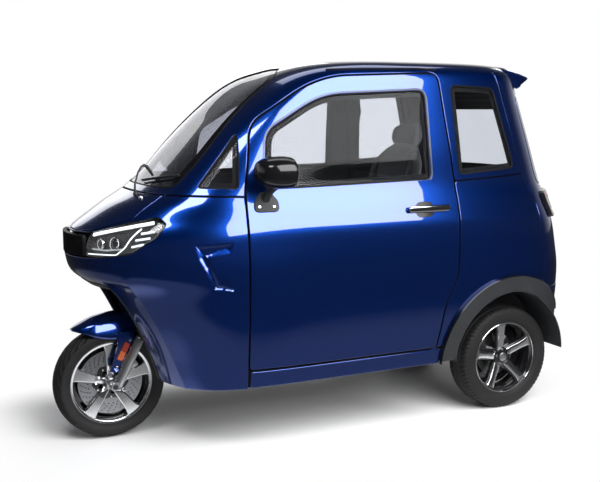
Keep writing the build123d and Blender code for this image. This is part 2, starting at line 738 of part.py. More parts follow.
head_bore = rod(along(HEAD_BOTTOM - 20, 0), along(STEM_TOP, 0), STEM_RADIUS + RUN)
tow_z = (RAIL_BOTTOM_Z + RAIL_TOP_Z) / 2
frame_parts.append(block(CROSS_MEMBERS_X[-1], RAIL_REAR_X, -TOW_HALF_WIDTH, TOW_HALF_WIDTH,
                         RAIL_BOTTOM_Z, RAIL_TOP_Z))
tow_bore = rod((RAIL_REAR_X - TOW_DEPTH, 0, tow_z), (RAIL_REAR_X + 10, 0, tow_z), TOW_RADIUS)
save(carve(joined(frame_parts), [], [head_bore, tow_bore]), "chassis_frame")

# Floor and front bulkhead
BULKHEAD_X = (-644.0, -636.0)
WHEEL_BOX_Y = 296.0
MOTOR_X = (REAR_AXLE_X - 90.0, REAR_AXLE_X + 90.0)
MOTOR_ROOM = 15.0
MOTOR_HALF_WIDTH = 110.0
MOTOR_HALF_HEIGHT = 90.0
BULKHEAD_TOP_Z = 900.0
floor_plate = block(BULKHEAD_X[0], RAIL_REAR_X - 10, -BIG, BIG, FLOOR_Z, FLOOR_Z + FLOOR_THICKNESS)
bulkhead = block(*BULKHEAD_X, -BIG, BIG, FLOOR_Z, BULKHEAD_TOP_Z)
wheel_room = with_mirror(block(ARCH_X - ARCH_RADIUS - 4, ARCH_X + ARCH_RADIUS + 4, -BIG, -WHEEL_BOX_Y, 0, 700))
motor_room = block(MOTOR_X[0] - MOTOR_ROOM, MOTOR_X[1] + MOTOR_ROOM, -MOTOR_HALF_WIDTH - MOTOR_ROOM,
                   MOTOR_HALF_WIDTH + MOTOR_ROOM, 0, 400)
stem_room = rod(along(HEAD_BOTTOM - 40, 0), along(STEM_TOP, 0), HEAD_RADIUS + 8)
save(carve(joined([floor_plate, bulkhead]), [CAVITY_FIT], [wheel_room, motor_room, stem_room]), "floor_tub")

# Dashboard, shelf-like under the windscreen
DASHBOARD = [(-1000, 905, 0), (-1000, 1084, 0), (-738, 1078, 16), (-730, 985, 30), (-765, 905, 10)]
save(carve(slab(DASHBOARD, -BIG, BIG), [CAVITY_FIT], []), "dashboard")

# Seats on their boxes, and the battery in the front one
DRIVER_BOX_HALF = 205.0
REAR_BOX_HALF = 284.0
BATTERY = (0, 400, 185, 190)    # front x, rear x, half width, height
seat_front = end_prism(mirrored(DRIVER_SEAT_HALF), -200, 800)
save(carve(slab(DRIVER_SEAT, -300, 300), [seat_front], []), "driver_seat")
save(slab(REAR_SEAT, -REAR_SEAT_HALF_WIDTH, REAR_SEAT_HALF_WIDTH), "rear_seat")
box_floor = FLOOR_Z + FLOOR_THICKNESS + SEAT_GAP
seat_box_top = DRIVER_SEAT[0][1] - SEAT_GAP
rear_box_top = REAR_SEAT[0][1] - SEAT_GAP
seat_boxes = []
for x_span, half, top in ((SEAT_BOX_X, DRIVER_BOX_HALF, seat_box_top),
                          (REAR_BOX_X, REAR_BOX_HALF, rear_box_top)):
    outside = block(*x_span, -half, half, box_floor, top)
    inside = block(x_span[0] + BOX_WALL, x_span[1] - BOX_WALL, BOX_WALL - half, half - BOX_WALL,
                   box_floor - 10, top - BOX_WALL)
    seat_boxes.append(carve(outside, [], [inside]))
save(joined(seat_boxes), "seat_boxes")
battery = block(BATTERY[0], BATTERY[1], -BATTERY[2], BATTERY[2], box_floor, box_floor + BATTERY[3])
save(battery, "battery_block")

# Rear axle on its leaf springs, with the motor in the middle
save(block(*MOTOR_X, -MOTOR_HALF_WIDTH, MOTOR_HALF_WIDTH, REAR_TYRE_RADIUS - MOTOR_HALF_HEIGHT,
           REAR_TYRE_RADIUS + MOTOR_HALF_HEIGHT), "drive_motor")
ARM_Y = (-316.0, -308.0)
CALIPER_OUTER_Y = -387.0
axle_half = joined([
    rod((REAR_AXLE_X, -MOTOR_HALF_WIDTH, REAR_TYRE_RADIUS), (REAR_AXLE_X, ARM_Y[1], REAR_TYRE_RADIUS),
        AXLE_TUBE_RADIUS),
    rod((REAR_AXLE_X, -SIDE_INNER_Y, REAR_TYRE_RADIUS), (REAR_AXLE_X, STUB_END_Y, REAR_TYRE_RADIUS),
        STUB_RADIUS),
    slab(REAR_CALIPER_ARM, *ARM_Y),
    carve(slab(REAR_CALIPER, CALIPER_OUTER_Y, ARM_Y[0]), [],
          [rod((REAR_AXLE_X, -379, REAR_TYRE_RADIUS), (REAR_AXLE_X, -365, REAR_TYRE_RADIUS),
               REAR_DISC_RADIUS + 6)]),
])
save(with_mirror(axle_half), "rear_axle")

SPRING_EYE_Z = RAIL_BOTTOM_Z - SEAT_GAP
EYE_DROP = 12.0
EYE_HALF = 14.0
SADDLE_HALF = 42.0
spring_low_z = REAR_TYRE_RADIUS - AXLE_TUBE_RADIUS - EYE_DROP
with BuildPart() as leaf:
    with BuildSketch(Plane.XZ.offset(RAIL_INNER_Y)):
        with BuildLine():
            front_eye = (REAR_AXLE_X - SPRING_HALF_SPAN, SPRING_EYE_Z - EYE_DROP)
            rear_eye = (REAR_AXLE_X + SPRING_HALF_SPAN, SPRING_EYE_Z - EYE_DROP)
            ThreePointArc(front_eye, (REAR_AXLE_X, spring_low_z), rear_eye)
            Line(rear_eye, (rear_eye[0], rear_eye[1] - SPRING_THICKNESS))
            ThreePointArc((rear_eye[0], rear_eye[1] - SPRING_THICKNESS),
                          (REAR_AXLE_X, spring_low_z - SPRING_THICKNESS),
                          (front_eye[0], front_eye[1] - SPRING_THICKNESS))
            Line((front_eye[0], front_eye[1] - SPRING_THICKNESS), front_eye)
        make_face()
    extrude(amount=RAIL_OUTER_Y - RAIL_INNER_Y)
spring_parts = [leaf.part]
for x in (front_eye[0], rear_eye[0]):
    spring_parts.append(block(x - EYE_HALF, x + EYE_HALF, -RAIL_OUTER_Y, -RAIL_INNER_Y,
                              front_eye[1] - SPRING_THICKNESS, SPRING_EYE_Z))
saddle = carve(block(REAR_AXLE_X - SADDLE_HALF, REAR_AXLE_X + SADDLE_HALF, -RAIL_OUTER_Y, -RAIL_INNER_Y,
                     spring_low_z - 4, REAR_TYRE_RADIUS),
               [], [rod((REAR_AXLE_X, -BIG, REAR_TYRE_RADIUS), (REAR_AXLE_X, BIG, REAR_TYRE_RADIUS),
                        AXLE_TUBE_RADIUS)])
spring_parts.append(saddle)
save(with_mirror(joined(spring_parts)), "leaf_springs")
print("chassis done")


def tyre(centre, radius, width, rim_radius, rim_width):
    """A road tyre, turned about its axle."""
    bead = rim_radius + SEAT_GAP
    shoulder = radius - TREAD_FALL
    edge = width / 2 - TREAD_IN
    with BuildPart() as ring_part:
        with BuildSketch(Plane(origin=centre, x_dir=(0, 1, 0), z_dir=(1, 0, 0))):
            with BuildLine():
                Line((-rim_width / 2, bead), (rim_width / 2, bead))
                ThreePointArc((rim_width / 2, bead), (width / 2, (bead + shoulder) / 2), (edge, shoulder))
                ThreePointArc((edge, shoulder), (0, radius), (-edge, shoulder))
                ThreePointArc((-edge, shoulder), (-width / 2, (bead + shoulder) / 2), (-rim_width / 2, bead))
            make_face()
        revolve(axis=Axis(centre, (0, 1, 0)))
    return ring_part.part


def rim(centre, radius, width, hub_radius, hub_span, bore, spoke_span, spoke_widths, plate):
    """A cast wheel: barrel with lips, hub and tapered spokes, its face towards -Y."""
    x, y, z = centre
    barrel_inner = radius - BARREL_WALL
    front = Plane(origin=centre, x_dir=(1, 0, 0), z_dir=(0, -1, 0))
    with BuildPart() as wheel:
        with BuildSketch(front.offset(-width / 2)):
            Circle(radius)
            Circle(barrel_inner, mode=Mode.SUBTRACT)
        extrude(amount=width)
        with BuildSketch(front.offset(hub_span[0])):
            Circle(hub_radius)
        extrude(amount=hub_span[1] - hub_span[0])
        with BuildSketch(front.offset(spoke_span[0])):
            with PolarLocations(0, SPOKES, start_angle=SPOKE_START):
                Polygon((hub_radius - 8, -spoke_widths[0]), (barrel_inner + 3, -spoke_widths[1]),
                        (barrel_inner + 3, spoke_widths[1]), (hub_radius - 8, spoke_widths[0]), align=None)
        extrude(amount=spoke_span[1] - spoke_span[0])
        with BuildSketch(front.offset(spoke_span[0])):
            Circle(plate)
        extrude(amount=-6)
        with BuildSketch(front.offset(hub_span[0])):
            Circle(bore[0] + RUN)
        extrude(amount=bore[1] - hub_span[0], mode=Mode.SUBTRACT)
    return wheel.part


# Front wheel
FRONT_HUB_RADIUS = 33.0
FRONT_DISC_Y = 54.0
DISC_THICKNESS = 4.0
REAR_HUB_RADIUS = 44.0
REAR_DISC_Y = -370.0
front_centre = (FRONT_AXLE_X, 0, FRONT_TYRE_RADIUS)
save(tyre(front_centre, FRONT_TYRE_RADIUS, FRONT_TYRE_WIDTH, FRONT_RIM_RADIUS, FRONT_RIM_WIDTH), "front_tyre")
front_rim = rim(front_centre, FRONT_RIM_RADIUS, FRONT_RIM_WIDTH, FRONT_HUB_RADIUS, (-52, 52), (AXLE_RADIUS, 53),
                (22, 42), (15, 25), FRONT_PLATE_RADIUS)
save(front_rim, "front_rim")
disc_plane = Plane(origin=(FRONT_AXLE_X, FRONT_DISC_Y, FRONT_TYRE_RADIUS), x_dir=(1, 0, 0), z_dir=(0, 1, 0))
front_disc = ring(disc_plane, FRONT_DISC_RADIUS, 24, DISC_THICKNESS)
disc_hub = ring(disc_plane.offset(-2), FRONT_HUB_RADIUS, AXLE_RADIUS + RUN, 2)
disc_centre = ring(disc_plane, FRONT_HUB_RADIUS, AXLE_RADIUS + RUN, DISC_THICKNESS)
save(joined([front_disc, disc_hub, disc_centre]), "front_brake_disc")

# Rear wheels
for side, hand in (("left", False), ("right", True)):
    centre = (REAR_AXLE_X, -REAR_TRACK / 2, REAR_TYRE_RADIUS)
    rear_tyre = tyre(centre, REAR_TYRE_RADIUS, REAR_TYRE_WIDTH, REAR_RIM_RADIUS, REAR_RIM_WIDTH)
    rear_rim = rim(centre, REAR_RIM_RADIUS, REAR_RIM_WIDTH, REAR_HUB_RADIUS, (-30, 48), (STUB_RADIUS, 42),
                   (26, 46), (17, 24), 60)
    rear_disc_plane = Plane(origin=(REAR_AXLE_X, REAR_DISC_Y, REAR_TYRE_RADIUS), x_dir=(1, 0, 0),
                            z_dir=(0, -1, 0))
    rear_disc = ring(rear_disc_plane, REAR_DISC_RADIUS, 30, DISC_THICKNESS)
    for piece, name in ((rear_tyre, "rear_tyre"), (joined([rear_rim, rear_disc]), "rear_rim")):
        save(other_hand(piece) if hand else piece, f"{name}_{side}")

# Steering stem, yoke and fork
YOKE_DEPTH = 56.0
CLAMP_RADIUS = 20.0
yoke_plane = Plane(origin=along(YOKE_BOTTOM, LEG_BACK / 2), x_dir=(0, 1, 0), z_dir=UP_AXIS)
with BuildPart() as yoke:
    with BuildSketch(yoke_plane):
        RectangleRounded(2 * LEG_Y + 46, YOKE_DEPTH, 20)
    extrude(amount=YOKE_TOP - YOKE_BOTTOM)
stem = rod(along(YOKE_TOP - 5, 0), along(STEM_TOP, 0), STEM_RADIUS)
stanchion = rod(along(SLIDER_TOP - 5, LEG_BACK, -LEG_Y), along(YOKE_BOTTOM + 5, LEG_BACK, -LEG_Y),
                STANCHION_RADIUS)
save(joined([yoke.part, stem, with_mirror(stanchion)]), "steering_stem")
slider = rod(along(-14, LEG_BACK, -LEG_Y), along(SLIDER_TOP, LEG_BACK, -LEG_Y), SLIDER_RADIUS)
stanchion_room = rod(along(SLIDER_TOP - 5 - SEAT_GAP, LEG_BACK, -LEG_Y), along(STEM_TOP, LEG_BACK, -LEG_Y),
                     STANCHION_RADIUS + SEAT_GAP)
slider = carve(slider, [], [stanchion_room])
clamp = rod((FRONT_AXLE_X, -LEG_Y - 22, FRONT_TYRE_RADIUS), (FRONT_AXLE_X, -LEG_Y + 20, FRONT_TYRE_RADIUS),
            CLAMP_RADIUS)
front_axle = rod((FRONT_AXLE_X, -LEG_Y, FRONT_TYRE_RADIUS), (FRONT_AXLE_X, LEG_Y, FRONT_TYRE_RADIUS),
                 AXLE_RADIUS)
save(joined([with_mirror(joined([slider, clamp])), front_axle]), "fork_legs")

# Handlebar
BAR_RADIUS = 11.0
BAR_BEND = 40.0
BAR_CLAMP_RADIUS = 27.0
bar_points = [(x, y, z) for x, y, z in HANDLEBAR_PATH]
bar_points += [(x, -y, z) for x, y, z in reversed(HANDLEBAR_PATH)]
with BuildPart() as handlebar:
    with BuildLine() as bar_path:
        FilletPolyline(*[along(STEM_TOP - 30, 0) + Vector(*point) for point in bar_points], radius=BAR_BEND)
    with BuildSketch(Plane(origin=bar_path.line @ 0, z_dir=bar_path.line % 0)):
        Circle(BAR_RADIUS)
    sweep(path=bar_path.line)
bar_clamp = carve(rod(along(STEM_TOP - 55, 0), along(STEM_TOP - 5, 0), BAR_CLAMP_RADIUS), [],
                  [rod(along(STEM_TOP - 60, 0), along(STEM_TOP + 20, 0), STEM_RADIUS)])
save(carve(joined([handlebar.part, bar_clamp]), [], [rod(along(YOKE_TOP, 0), along(STEM_TOP, 0), STEM_RADIUS)]),
     "handlebar")


def mudguard_volume(inset):
    """The mudguard's outside, or its inside drawn in by its wall."""
    sections = []
    for x, edge_z, crest_z, half_width in MUDGUARD_SECTIONS:
        base = edge_z - (10 if inset else 0)
        half = half_width - inset
        crest = crest_z - inset
        with BuildSketch(Plane.YZ.offset(x)) as section:
            with BuildLine():
                Line((-half, base), (half, base))
                Line((half, base), (half, base + 6))
                ThreePointArc((half, base + 6), (0, crest), (-half, base + 6))
                Line((-half, base + 6), (-half, base))
            make_face()
        sections.append(section.sketch)
    with BuildPart() as volume:
        loft(sections, ruled=True)
    return volume.part


# Mudguard with its stays down to the fork, and their reflectors
mudguard = carve(mudguard_volume(0.0), [], [mudguard_volume(MUDGUARD_WALL)])
leg_front = LEG_BACK - SLIDER_RADIUS - SEAT_GAP
low = along(58, leg_front)
high = along(232, leg_front)
stay = slab([(low.X - 30, low.Z - 2, 6), (low.X, low.Z, 6), (high.X, high.Z, 6), (high.X - 20, 470, 0),
             (-968, 470, 0), (-966, 415, 30)], -STAY_Y - 2, -STAY_Y + 2)
save(joined([mudguard, with_mirror(stay)]), "front_mudguard")
REFLECTOR = (28.0, 88.0, 5.0)    # width, height, thickness
reflector_plane = Plane(origin=along(150, leg_front - 18, -STAY_Y - 2 - SEAT_GAP), x_dir=BACK_AXIS,
                        z_dir=(0, -1, 0))
with BuildPart() as reflector:
    with BuildSketch(reflector_plane):
        RectangleRounded(REFLECTOR[0], REFLECTOR[1], 3)
    extrude(amount=REFLECTOR[2])
save(with_mirror(reflector.part), "fork_reflectors")

# Front brake caliper on the right leg
CALIPER = (66.0, 84.0)
CALIPER_INNER_Y = 40.0
caliper_plane = Plane(origin=along(82, 26, CALIPER_INNER_Y), x_dir=BACK_AXIS, z_dir=(0, 1, 0))
with BuildPart() as caliper:
    with BuildSketch(caliper_plane):
        RectangleRounded(*CALIPER, 10)
    extrude(amount=LEG_Y - 12 - CALIPER_INNER_Y)
disc_room = ring(Plane(origin=(FRONT_AXLE_X, 48, FRONT_TYRE_RADIUS), x_dir=(1, 0, 0), z_dir=(0, 1, 0)),
                 FRONT_DISC_RADIUS + 5, 5, 16)
leg_room = rod(along(-20, LEG_BACK, LEG_Y), along(SLIDER_TOP, LEG_BACK, LEG_Y), SLIDER_RADIUS + SEAT_GAP)
save(carve(caliper.part, [], [disc_room, leg_room]), "brake_caliper")
print("all done")
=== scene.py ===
import bpy
import bmesh
import math
import numpy as np
from mathutils import Matrix, Vector, geometry


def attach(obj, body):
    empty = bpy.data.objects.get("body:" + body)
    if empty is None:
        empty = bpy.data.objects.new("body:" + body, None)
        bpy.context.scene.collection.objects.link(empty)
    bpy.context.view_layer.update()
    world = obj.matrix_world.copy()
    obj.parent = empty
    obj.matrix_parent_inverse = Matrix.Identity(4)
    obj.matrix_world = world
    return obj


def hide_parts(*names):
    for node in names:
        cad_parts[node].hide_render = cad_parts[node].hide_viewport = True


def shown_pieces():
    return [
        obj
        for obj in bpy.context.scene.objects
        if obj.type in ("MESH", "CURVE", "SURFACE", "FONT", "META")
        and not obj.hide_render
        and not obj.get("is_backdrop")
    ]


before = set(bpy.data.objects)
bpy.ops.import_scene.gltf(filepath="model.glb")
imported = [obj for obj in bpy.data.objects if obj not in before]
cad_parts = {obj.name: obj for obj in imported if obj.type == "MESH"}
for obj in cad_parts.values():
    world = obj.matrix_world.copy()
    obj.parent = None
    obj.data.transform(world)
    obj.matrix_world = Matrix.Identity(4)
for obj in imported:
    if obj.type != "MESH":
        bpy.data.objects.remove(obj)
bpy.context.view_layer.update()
scene = bpy.context.scene
mm = 0.001
print("stage: frame loaded")


# camera and light

cameraSettings = {
    "place": (-1.9669, -3.9765, 1.4314),
    "turn": 25.74,       # degrees right of straight across the car
    "tilt": 8.0,         # degrees down
    "lens": 56.0,
}
cameraData = bpy.data.cameras.new("viewCamera")
cameraData.lens = cameraSettings["lens"]
cameraData.sensor_width = 36.0
cameraData.clip_end = 60.0
camera = bpy.data.objects.new("viewCamera", cameraData)
camera.location = cameraSettings["place"]
camera.rotation_euler = (math.radians(90 - cameraSettings["tilt"]), 0, math.radians(-cameraSettings["turn"]))
scene.collection.objects.link(camera)
scene.camera = camera
scene.view_settings.view_transform = "Standard"

# place, aim, width, height, watts
softboxes = {
    "sideBox": ((0.60, -3.33, 3.05), (0.0, -0.5, 1.05), 3.55, 3.2, 300),
    "roofBox": ((0.7, 1.0, 3.7), (0.3, 0.2, 1.4), 2.6, 1.2, 15),
    "cornerBox": ((-2.4, -1.9, 3.9), (-0.6, -0.3, 1.1), 1.4, 1.0, 50),
    "tailBox": ((3.8, 1.7, 2.5), (0.9, 0.1, 0.9), 1.4, 1.2, 22),
    "farBox": ((0.2, 4.8, 2.4), (0.0, 0.2, 0.9), 4.4, 1.4, 26),
}
for boxName, (place, aim, width, height, watts) in softboxes.items():
    lampData = bpy.data.lights.new(boxName, "AREA")
    lampData.shape = "RECTANGLE"
    lampData.size = width
    lampData.size_y = height
    lampData.energy = watts
    lamp = bpy.data.objects.new(boxName, lampData)
    lamp.location = place
    lamp.rotation_euler = (Vector(aim) - Vector(place)).to_track_quat("-Z", "Y").to_euler()
    scene.collection.objects.link(lamp)


def feed(tree, socket, value):
    # a number sets a socket, another node's output is wired to it
    if isinstance(value, bpy.types.NodeSocket):
        tree.links.new(value, socket)
    elif value is not None:
        socket.default_value = value


def newNode(tree, kind, ins=(), **values):
    # adds a node: ins fills its inputs in their order, values its inputs or properties by name
    node = tree.nodes.new(kind if "Node" in kind else "ShaderNode" + kind)
    for key, value in values.items():
        if key in node.inputs:
            feed(tree, node.inputs[key], value)
        else:
            setattr(node, key, value)
    for socket, value in zip(node.inputs, ins):
        feed(tree, socket, value)
    return node


def maths(tree, operation, *ins, use_clamp=False):
    return newNode(tree, "Math", ins, operation=operation, use_clamp=use_clamp).outputs[0]


def blendColours(tree, share, first, second, blend="MIX"):
    # first and second are colours or sockets
    first, second = ((*c, 1) if isinstance(c, tuple) else c for c in (first, second))
    return newNode(tree, "Mix", (share, None, None, None, None, None, first, second), data_type="RGBA",
                   blend_type=blend).outputs[2]


def spread(tree, source, low, high, fromMin=0.3, fromMax=0.7, **values):
    # spreads a noise between two numbers
    return newNode(tree, "MapRange", (source, fromMin, fromMax, low, high), **values).outputs[0]


def axisOf(tree, source, axis):
    return newNode(tree, "SeparateXYZ", (source,)).outputs[axis]


def rayIs(tree, *kinds):
    # 1 where the ray is of one of these kinds
    path = newNode(tree, "LightPath")
    found = path.outputs[f"Is {kinds[0]} Ray"]
    for kind in kinds[1:]:
        found = maths(tree, "MAXIMUM", found, path.outputs[f"Is {kind} Ray"])
    return found


def placeIn(tree, kind="Object"):
    return newNode(tree, "TexCoord").outputs[kind]


def texture(tree, kind, **values):
    # a texture fixed to the object's own place
    return newNode(tree, "Tex" + kind, Vector=placeIn(tree), **values)


world = bpy.data.worlds.new("studioWorld")
scene.world = world
world.use_nodes = True
tree = world.node_tree
tree.nodes.clear()
skyWay = placeIn(tree, "Generated")
skyRamp = newNode(tree, "ValToRGB", (axisOf(tree, skyWay, "Z"),))     # pale low down, darker overhead
for stop, place, tone in zip(skyRamp.color_ramp.elements, (0.16, 0.42), ((1, 1, 1, 1), (0.05, 0.055, 0.065, 1))):
    stop.position = place
    stop.color = tone
roomFall = spread(tree, axisOf(tree, skyWay, "Y"), 0.04, 0.75, -0.12, 0.4)     # the room is unlit behind the camera
room = blendColours(tree, 1.0, skyRamp.outputs[0], roomFall, "MULTIPLY")
openSky = blendColours(tree, rayIs(tree, "Camera", "Transmission"), room, (1, 1, 1))
paleSky = newNode(tree, "Background", Strength=1.0, Color=openSky)
dimSky = newNode(tree, "Background", Strength=0.32, Color=skyRamp.outputs[0])
skyMix = newNode(tree, "MixShader", (rayIs(tree, "Camera", "Glossy", "Transmission"), dimSky.outputs[0],
        paleSky.outputs[0]))
newNode(tree, "OutputWorld", (skyMix.outputs[0],))


# materials

def effectGroup(name, inputs, outputs):
    # an empty node group with named sockets
    group = bpy.data.node_groups.new(name, "ShaderNodeTree")
    for socketName, value in inputs.items():
        socket = group.interface.new_socket(socketName, in_out="INPUT", socket_type="NodeSocketFloat")
        socket.default_value = value
    for socketName in outputs:
        group.interface.new_socket(socketName, in_out="OUTPUT", socket_type="NodeSocketFloat")
    return group, newNode(group, "NodeGroupInput").outputs, newNode(group, "NodeGroupOutput").inputs


grainGroup, given, result = effectGroup("mouldedGrain", {"Scale": 900.0, "Patches": 6.0}, ("Height", "Tone"))
grainCells = texture(grainGroup, "Voronoi", feature="DISTANCE_TO_EDGE", Scale=given["Scale"])
feed(grainGroup, result["Height"], grainCells.outputs["Distance"])
feed(grainGroup, result["Tone"], texture(grainGroup, "Noise", Detail=3.0, Scale=given["Patches"]).outputs[0])

dustGroup, given, result = effectGroup("roadDust", {"Top": 0.45, "Amount": 0.25, "Scale": 14.0}, ("Mask", "Patchy"))
dustNoise = texture(dustGroup, "Noise", Detail=6.0, Scale=given["Scale"]).outputs[0]
dustFall = maths(dustGroup, "DIVIDE", axisOf(dustGroup, placeIn(dustGroup), "Z"), given["Top"])
dustLow = maths(dustGroup, "SUBTRACT", 1.0, dustFall, use_clamp=True)
dustLevel = maths(dustGroup, "MULTIPLY", maths(dustGroup, "MULTIPLY", dustLow, dustNoise), given["Amount"],
                  use_clamp=True)
feed(dustGroup, result["Mask"], dustLevel)
feed(dustGroup, result["Patchy"], dustNoise)

weaveGroup, given, result = effectGroup("clothWeave", {"Scale": 700.0}, ("Height", "Tone"))
weaveWaves = [texture(weaveGroup, "Wave", wave_type="BANDS", bands_direction=way, Scale=given["Scale"]).outputs["Fac"]
              for way in ("Z", "DIAGONAL")]
feed(weaveGroup, result["Height"], maths(weaveGroup, "MAXIMUM", *weaveWaves))
feed(weaveGroup, result["Tone"], texture(weaveGroup, "Noise", Scale=160.0, Detail=4.0).outputs[0])


def startMaterial(name, sockets):
    # a material with its shader's fixed values set on its own sockets
    material = bpy.data.materials.new(name)
    material.use_nodes = True
    shader = material.node_tree.nodes["Principled BSDF"]
    for socketName, value in sockets.items():
        shader.inputs[socketName].default_value = value
    return material, material.node_tree, shader.inputs


def placeGroup(nodes, group, **values):
    node = nodes.nodes.new("ShaderNodeGroup")
    node.node_tree = group
    for key, value in values.items():
        node.inputs[key].default_value = value
    return node.outputs


def bump(nodes, shader, height, strength, distance):
    node = newNode(nodes, "Bump", Strength=strength, Distance=distance, Height=height)
    feed(nodes, shader["Normal"], node.outputs[0])


def darker(colour, share):
    return tuple(c * share for c in colour)


def mouldedPlastic(name, dark, light, roughness, grainScale, grainDepth, dust=0.0, specular=0.45):
    # black plastics: fine cells, patchy tone, a little road dust low down
    material, nodes, shader = startMaterial(name, {"Specular IOR Level": specular})
    grain = placeGroup(nodes, grainGroup, Scale=grainScale)
    colour = blendColours(nodes, grain["Tone"], dark, light)
    if dust:
        colour = blendColours(nodes, placeGroup(nodes, dustGroup, Amount=dust)["Mask"], colour, (0.16, 0.15, 0.14))
    feed(nodes, shader["Base Color"], colour)
    feed(nodes, shader["Roughness"], spread(nodes, grain["Tone"], roughness - 0.06, roughness + 0.06))
    bump(nodes, shader, grain["Height"], 0.35, grainDepth)
    return material


def workedMetal(name, colour, roughness, vary, metallic=1.0, streak=260.0, coat=0.0):
    # metals: fine patches in the roughness and the tone
    material, nodes, shader = startMaterial(name, {"Metallic": metallic, "Coat Weight": coat, "Coat Roughness": 0.05})
    patches = texture(nodes, "Noise", Scale=streak, Detail=5.0, Roughness=0.6).outputs[0]
    feed(nodes, shader["Roughness"], spread(nodes, patches, roughness - vary, roughness + vary))
    feed(nodes, shader["Base Color"], blendColours(nodes, patches, darker(colour, 0.9), colour))
    bump(nodes, shader, patches, 0.05, 0.0004)
    return material


def clearGlass(name, tint, ior):
    # clear panes; a shadow ray goes through them, so that the cabin is lit
    material, nodes, shader = startMaterial(name, {"Transmission Weight": 1.0, "IOR": ior, "Roughness": 0.0})
    film = texture(nodes, "Noise", Scale=5.0, Detail=4.0).outputs[0]
    feed(nodes, shader["Base Color"], blendColours(nodes, film, tint, darker(tint, 0.97)))
    through = newNode(nodes, "BsdfTransparent", ((*tint, 1),))
    mix = newNode(nodes, "MixShader", (rayIs(nodes, "Shadow"), nodes.nodes["Principled BSDF"].outputs[0],
            through.outputs[0]))
    feed(nodes, nodes.nodes["Material Output"].inputs["Surface"], mix.outputs[0])
    return material


def bluePaint():
    # deep metallic blue: flakes tilt the base, a clear coat lies over them
    material, nodes, shader = startMaterial("bluePaint", {
        "Metallic": 0.9, "Coat Weight": 1.0, "Coat Roughness": 0.02, "Coat IOR": 1.7, "Specular IOR Level": 0.5})
    facing = newNode(nodes, "LayerWeight", Blend=0.42).outputs["Facing"]
    shade = blendColours(nodes, facing, (0.0015, 0.042, 0.30), (0.0008, 0.018, 0.115))
    flakes = texture(nodes, "Voronoi", Scale=1900.0).outputs["Color"]
    feed(nodes, shader["Base Color"], blendColours(nodes, 0.22, shade, flakes, "MULTIPLY"))
    feed(nodes, shader["Roughness"], spread(nodes, texture(nodes, "Noise", Scale=3.0, Detail=2.0).outputs[0], 0.20,
            0.23))
    return material


def seatCloth(name, dark, light, scale):
    material, nodes, shader = startMaterial(name, {"Sheen Weight": 0.25, "Sheen Roughness": 0.5,
            "Specular IOR Level": 0.25})
    weave = placeGroup(nodes, weaveGroup, Scale=scale)
    feed(nodes, shader["Base Color"], blendColours(nodes, weave["Tone"], dark, light))
    feed(nodes, shader["Roughness"], spread(nodes, weave["Tone"], 0.72, 0.88))
    bump(nodes, shader, weave["Height"], 0.5, 0.0008)
    return material


def glowing(name, colour, strength, cell):
    # lit lamp parts, brighter in the middle of each cell
    material, nodes, shader = startMaterial(name, {"Roughness": 0.25, "Emission Strength": strength})
    cells = texture(nodes, "Voronoi", Scale=cell).outputs["Distance"]
    tone = blendColours(nodes, spread(nodes, cells, 0, 1, 0.1, 0.9), colour, darker(colour, 0.82))
    feed(nodes, shader["Base Color"], tone)
    feed(nodes, shader["Emission Color"], tone)
    return material


def lampPlastic(name, colour, ridges, smoked=0.0):
    # coloured lamp and reflector plastic with moulded prisms behind a smooth face
    material, nodes, shader = startMaterial(name, {"Roughness": 0.12, "Coat Weight": 0.8, "Coat Roughness": 0.03})
    prisms = texture(nodes, "Voronoi", Scale=ridges, distance="MANHATTAN").outputs["Distance"]
    tone = blendColours(nodes, spread(nodes, prisms, 0, 1, 0.1, 0.8), colour, darker(colour, 0.55))
    if smoked:                      # the ends of the cover are smoked black, across the body
        side = maths(nodes, "ABSOLUTE", axisOf(nodes, placeIn(nodes), "Y"))
        tone = blendColours(nodes, spread(nodes, side, 0, 1, smoked - 0.004, smoked + 0.004), tone,
                            (0.012, 0.010, 0.011))
    feed(nodes, shader["Base Color"], tone)
    bump(nodes, shader, prisms, 0.3, 0.0006)
    return material


paint = bluePaint()
trimBlack = mouldedPlastic("trimBlack", (0.016, 0.017, 0.019), (0.024, 0.026, 0.029), 0.5, 1500.0, 0.00025, 0.08)
cabinBlack = mouldedPlastic("cabinBlack", (0.009, 0.009, 0.010), (0.015, 0.015, 0.016), 0.62, 1100.0, 0.0003,
        specular=0.2)
glossBlack = mouldedPlastic("glossBlack", (0.004, 0.004, 0.005), (0.007, 0.007, 0.008), 0.12, 300.0, 0.00001)
sealRubber = mouldedPlastic("sealRubber", (0.003, 0.003, 0.004), (0.006, 0.006, 0.007), 0.6, 2200.0, 0.0001,
        specular=0.15)
printBlack = mouldedPlastic("printBlack", (0.0015, 0.0015, 0.002), (0.003, 0.003, 0.0035), 0.5, 300.0, 0.00001,
        specular=0.1)
tyreRubber = mouldedPlastic("tyreRubber", (0.009, 0.009, 0.010), (0.017, 0.017, 0.018), 0.6, 1400.0, 0.0003, 0.06,
        0.2)
floorMat = mouldedPlastic("floorMat", (0.018, 0.018, 0.019), (0.03, 0.03, 0.03), 0.85, 500.0, 0.0008, specular=0.2)
batteryCase = mouldedPlastic("batteryCase", (0.09, 0.09, 0.10), (0.12, 0.12, 0.13), 0.5, 700.0, 0.0003)
polished = workedMetal("polishedAlloy", (0.80, 0.81, 0.83), 0.14, 0.05)
revealMetal = workedMetal("revealMetal", (0.09, 0.095, 0.105), 0.36, 0.05)
satin = workedMetal("satinAlloy", (0.55, 0.56, 0.58), 0.34, 0.07)
chromed = workedMetal("chromed", (0.86, 0.87, 0.89), 0.06, 0.02)
discSteel = workedMetal("discSteel", (0.42, 0.42, 0.43), 0.30, 0.10, streak=420.0)
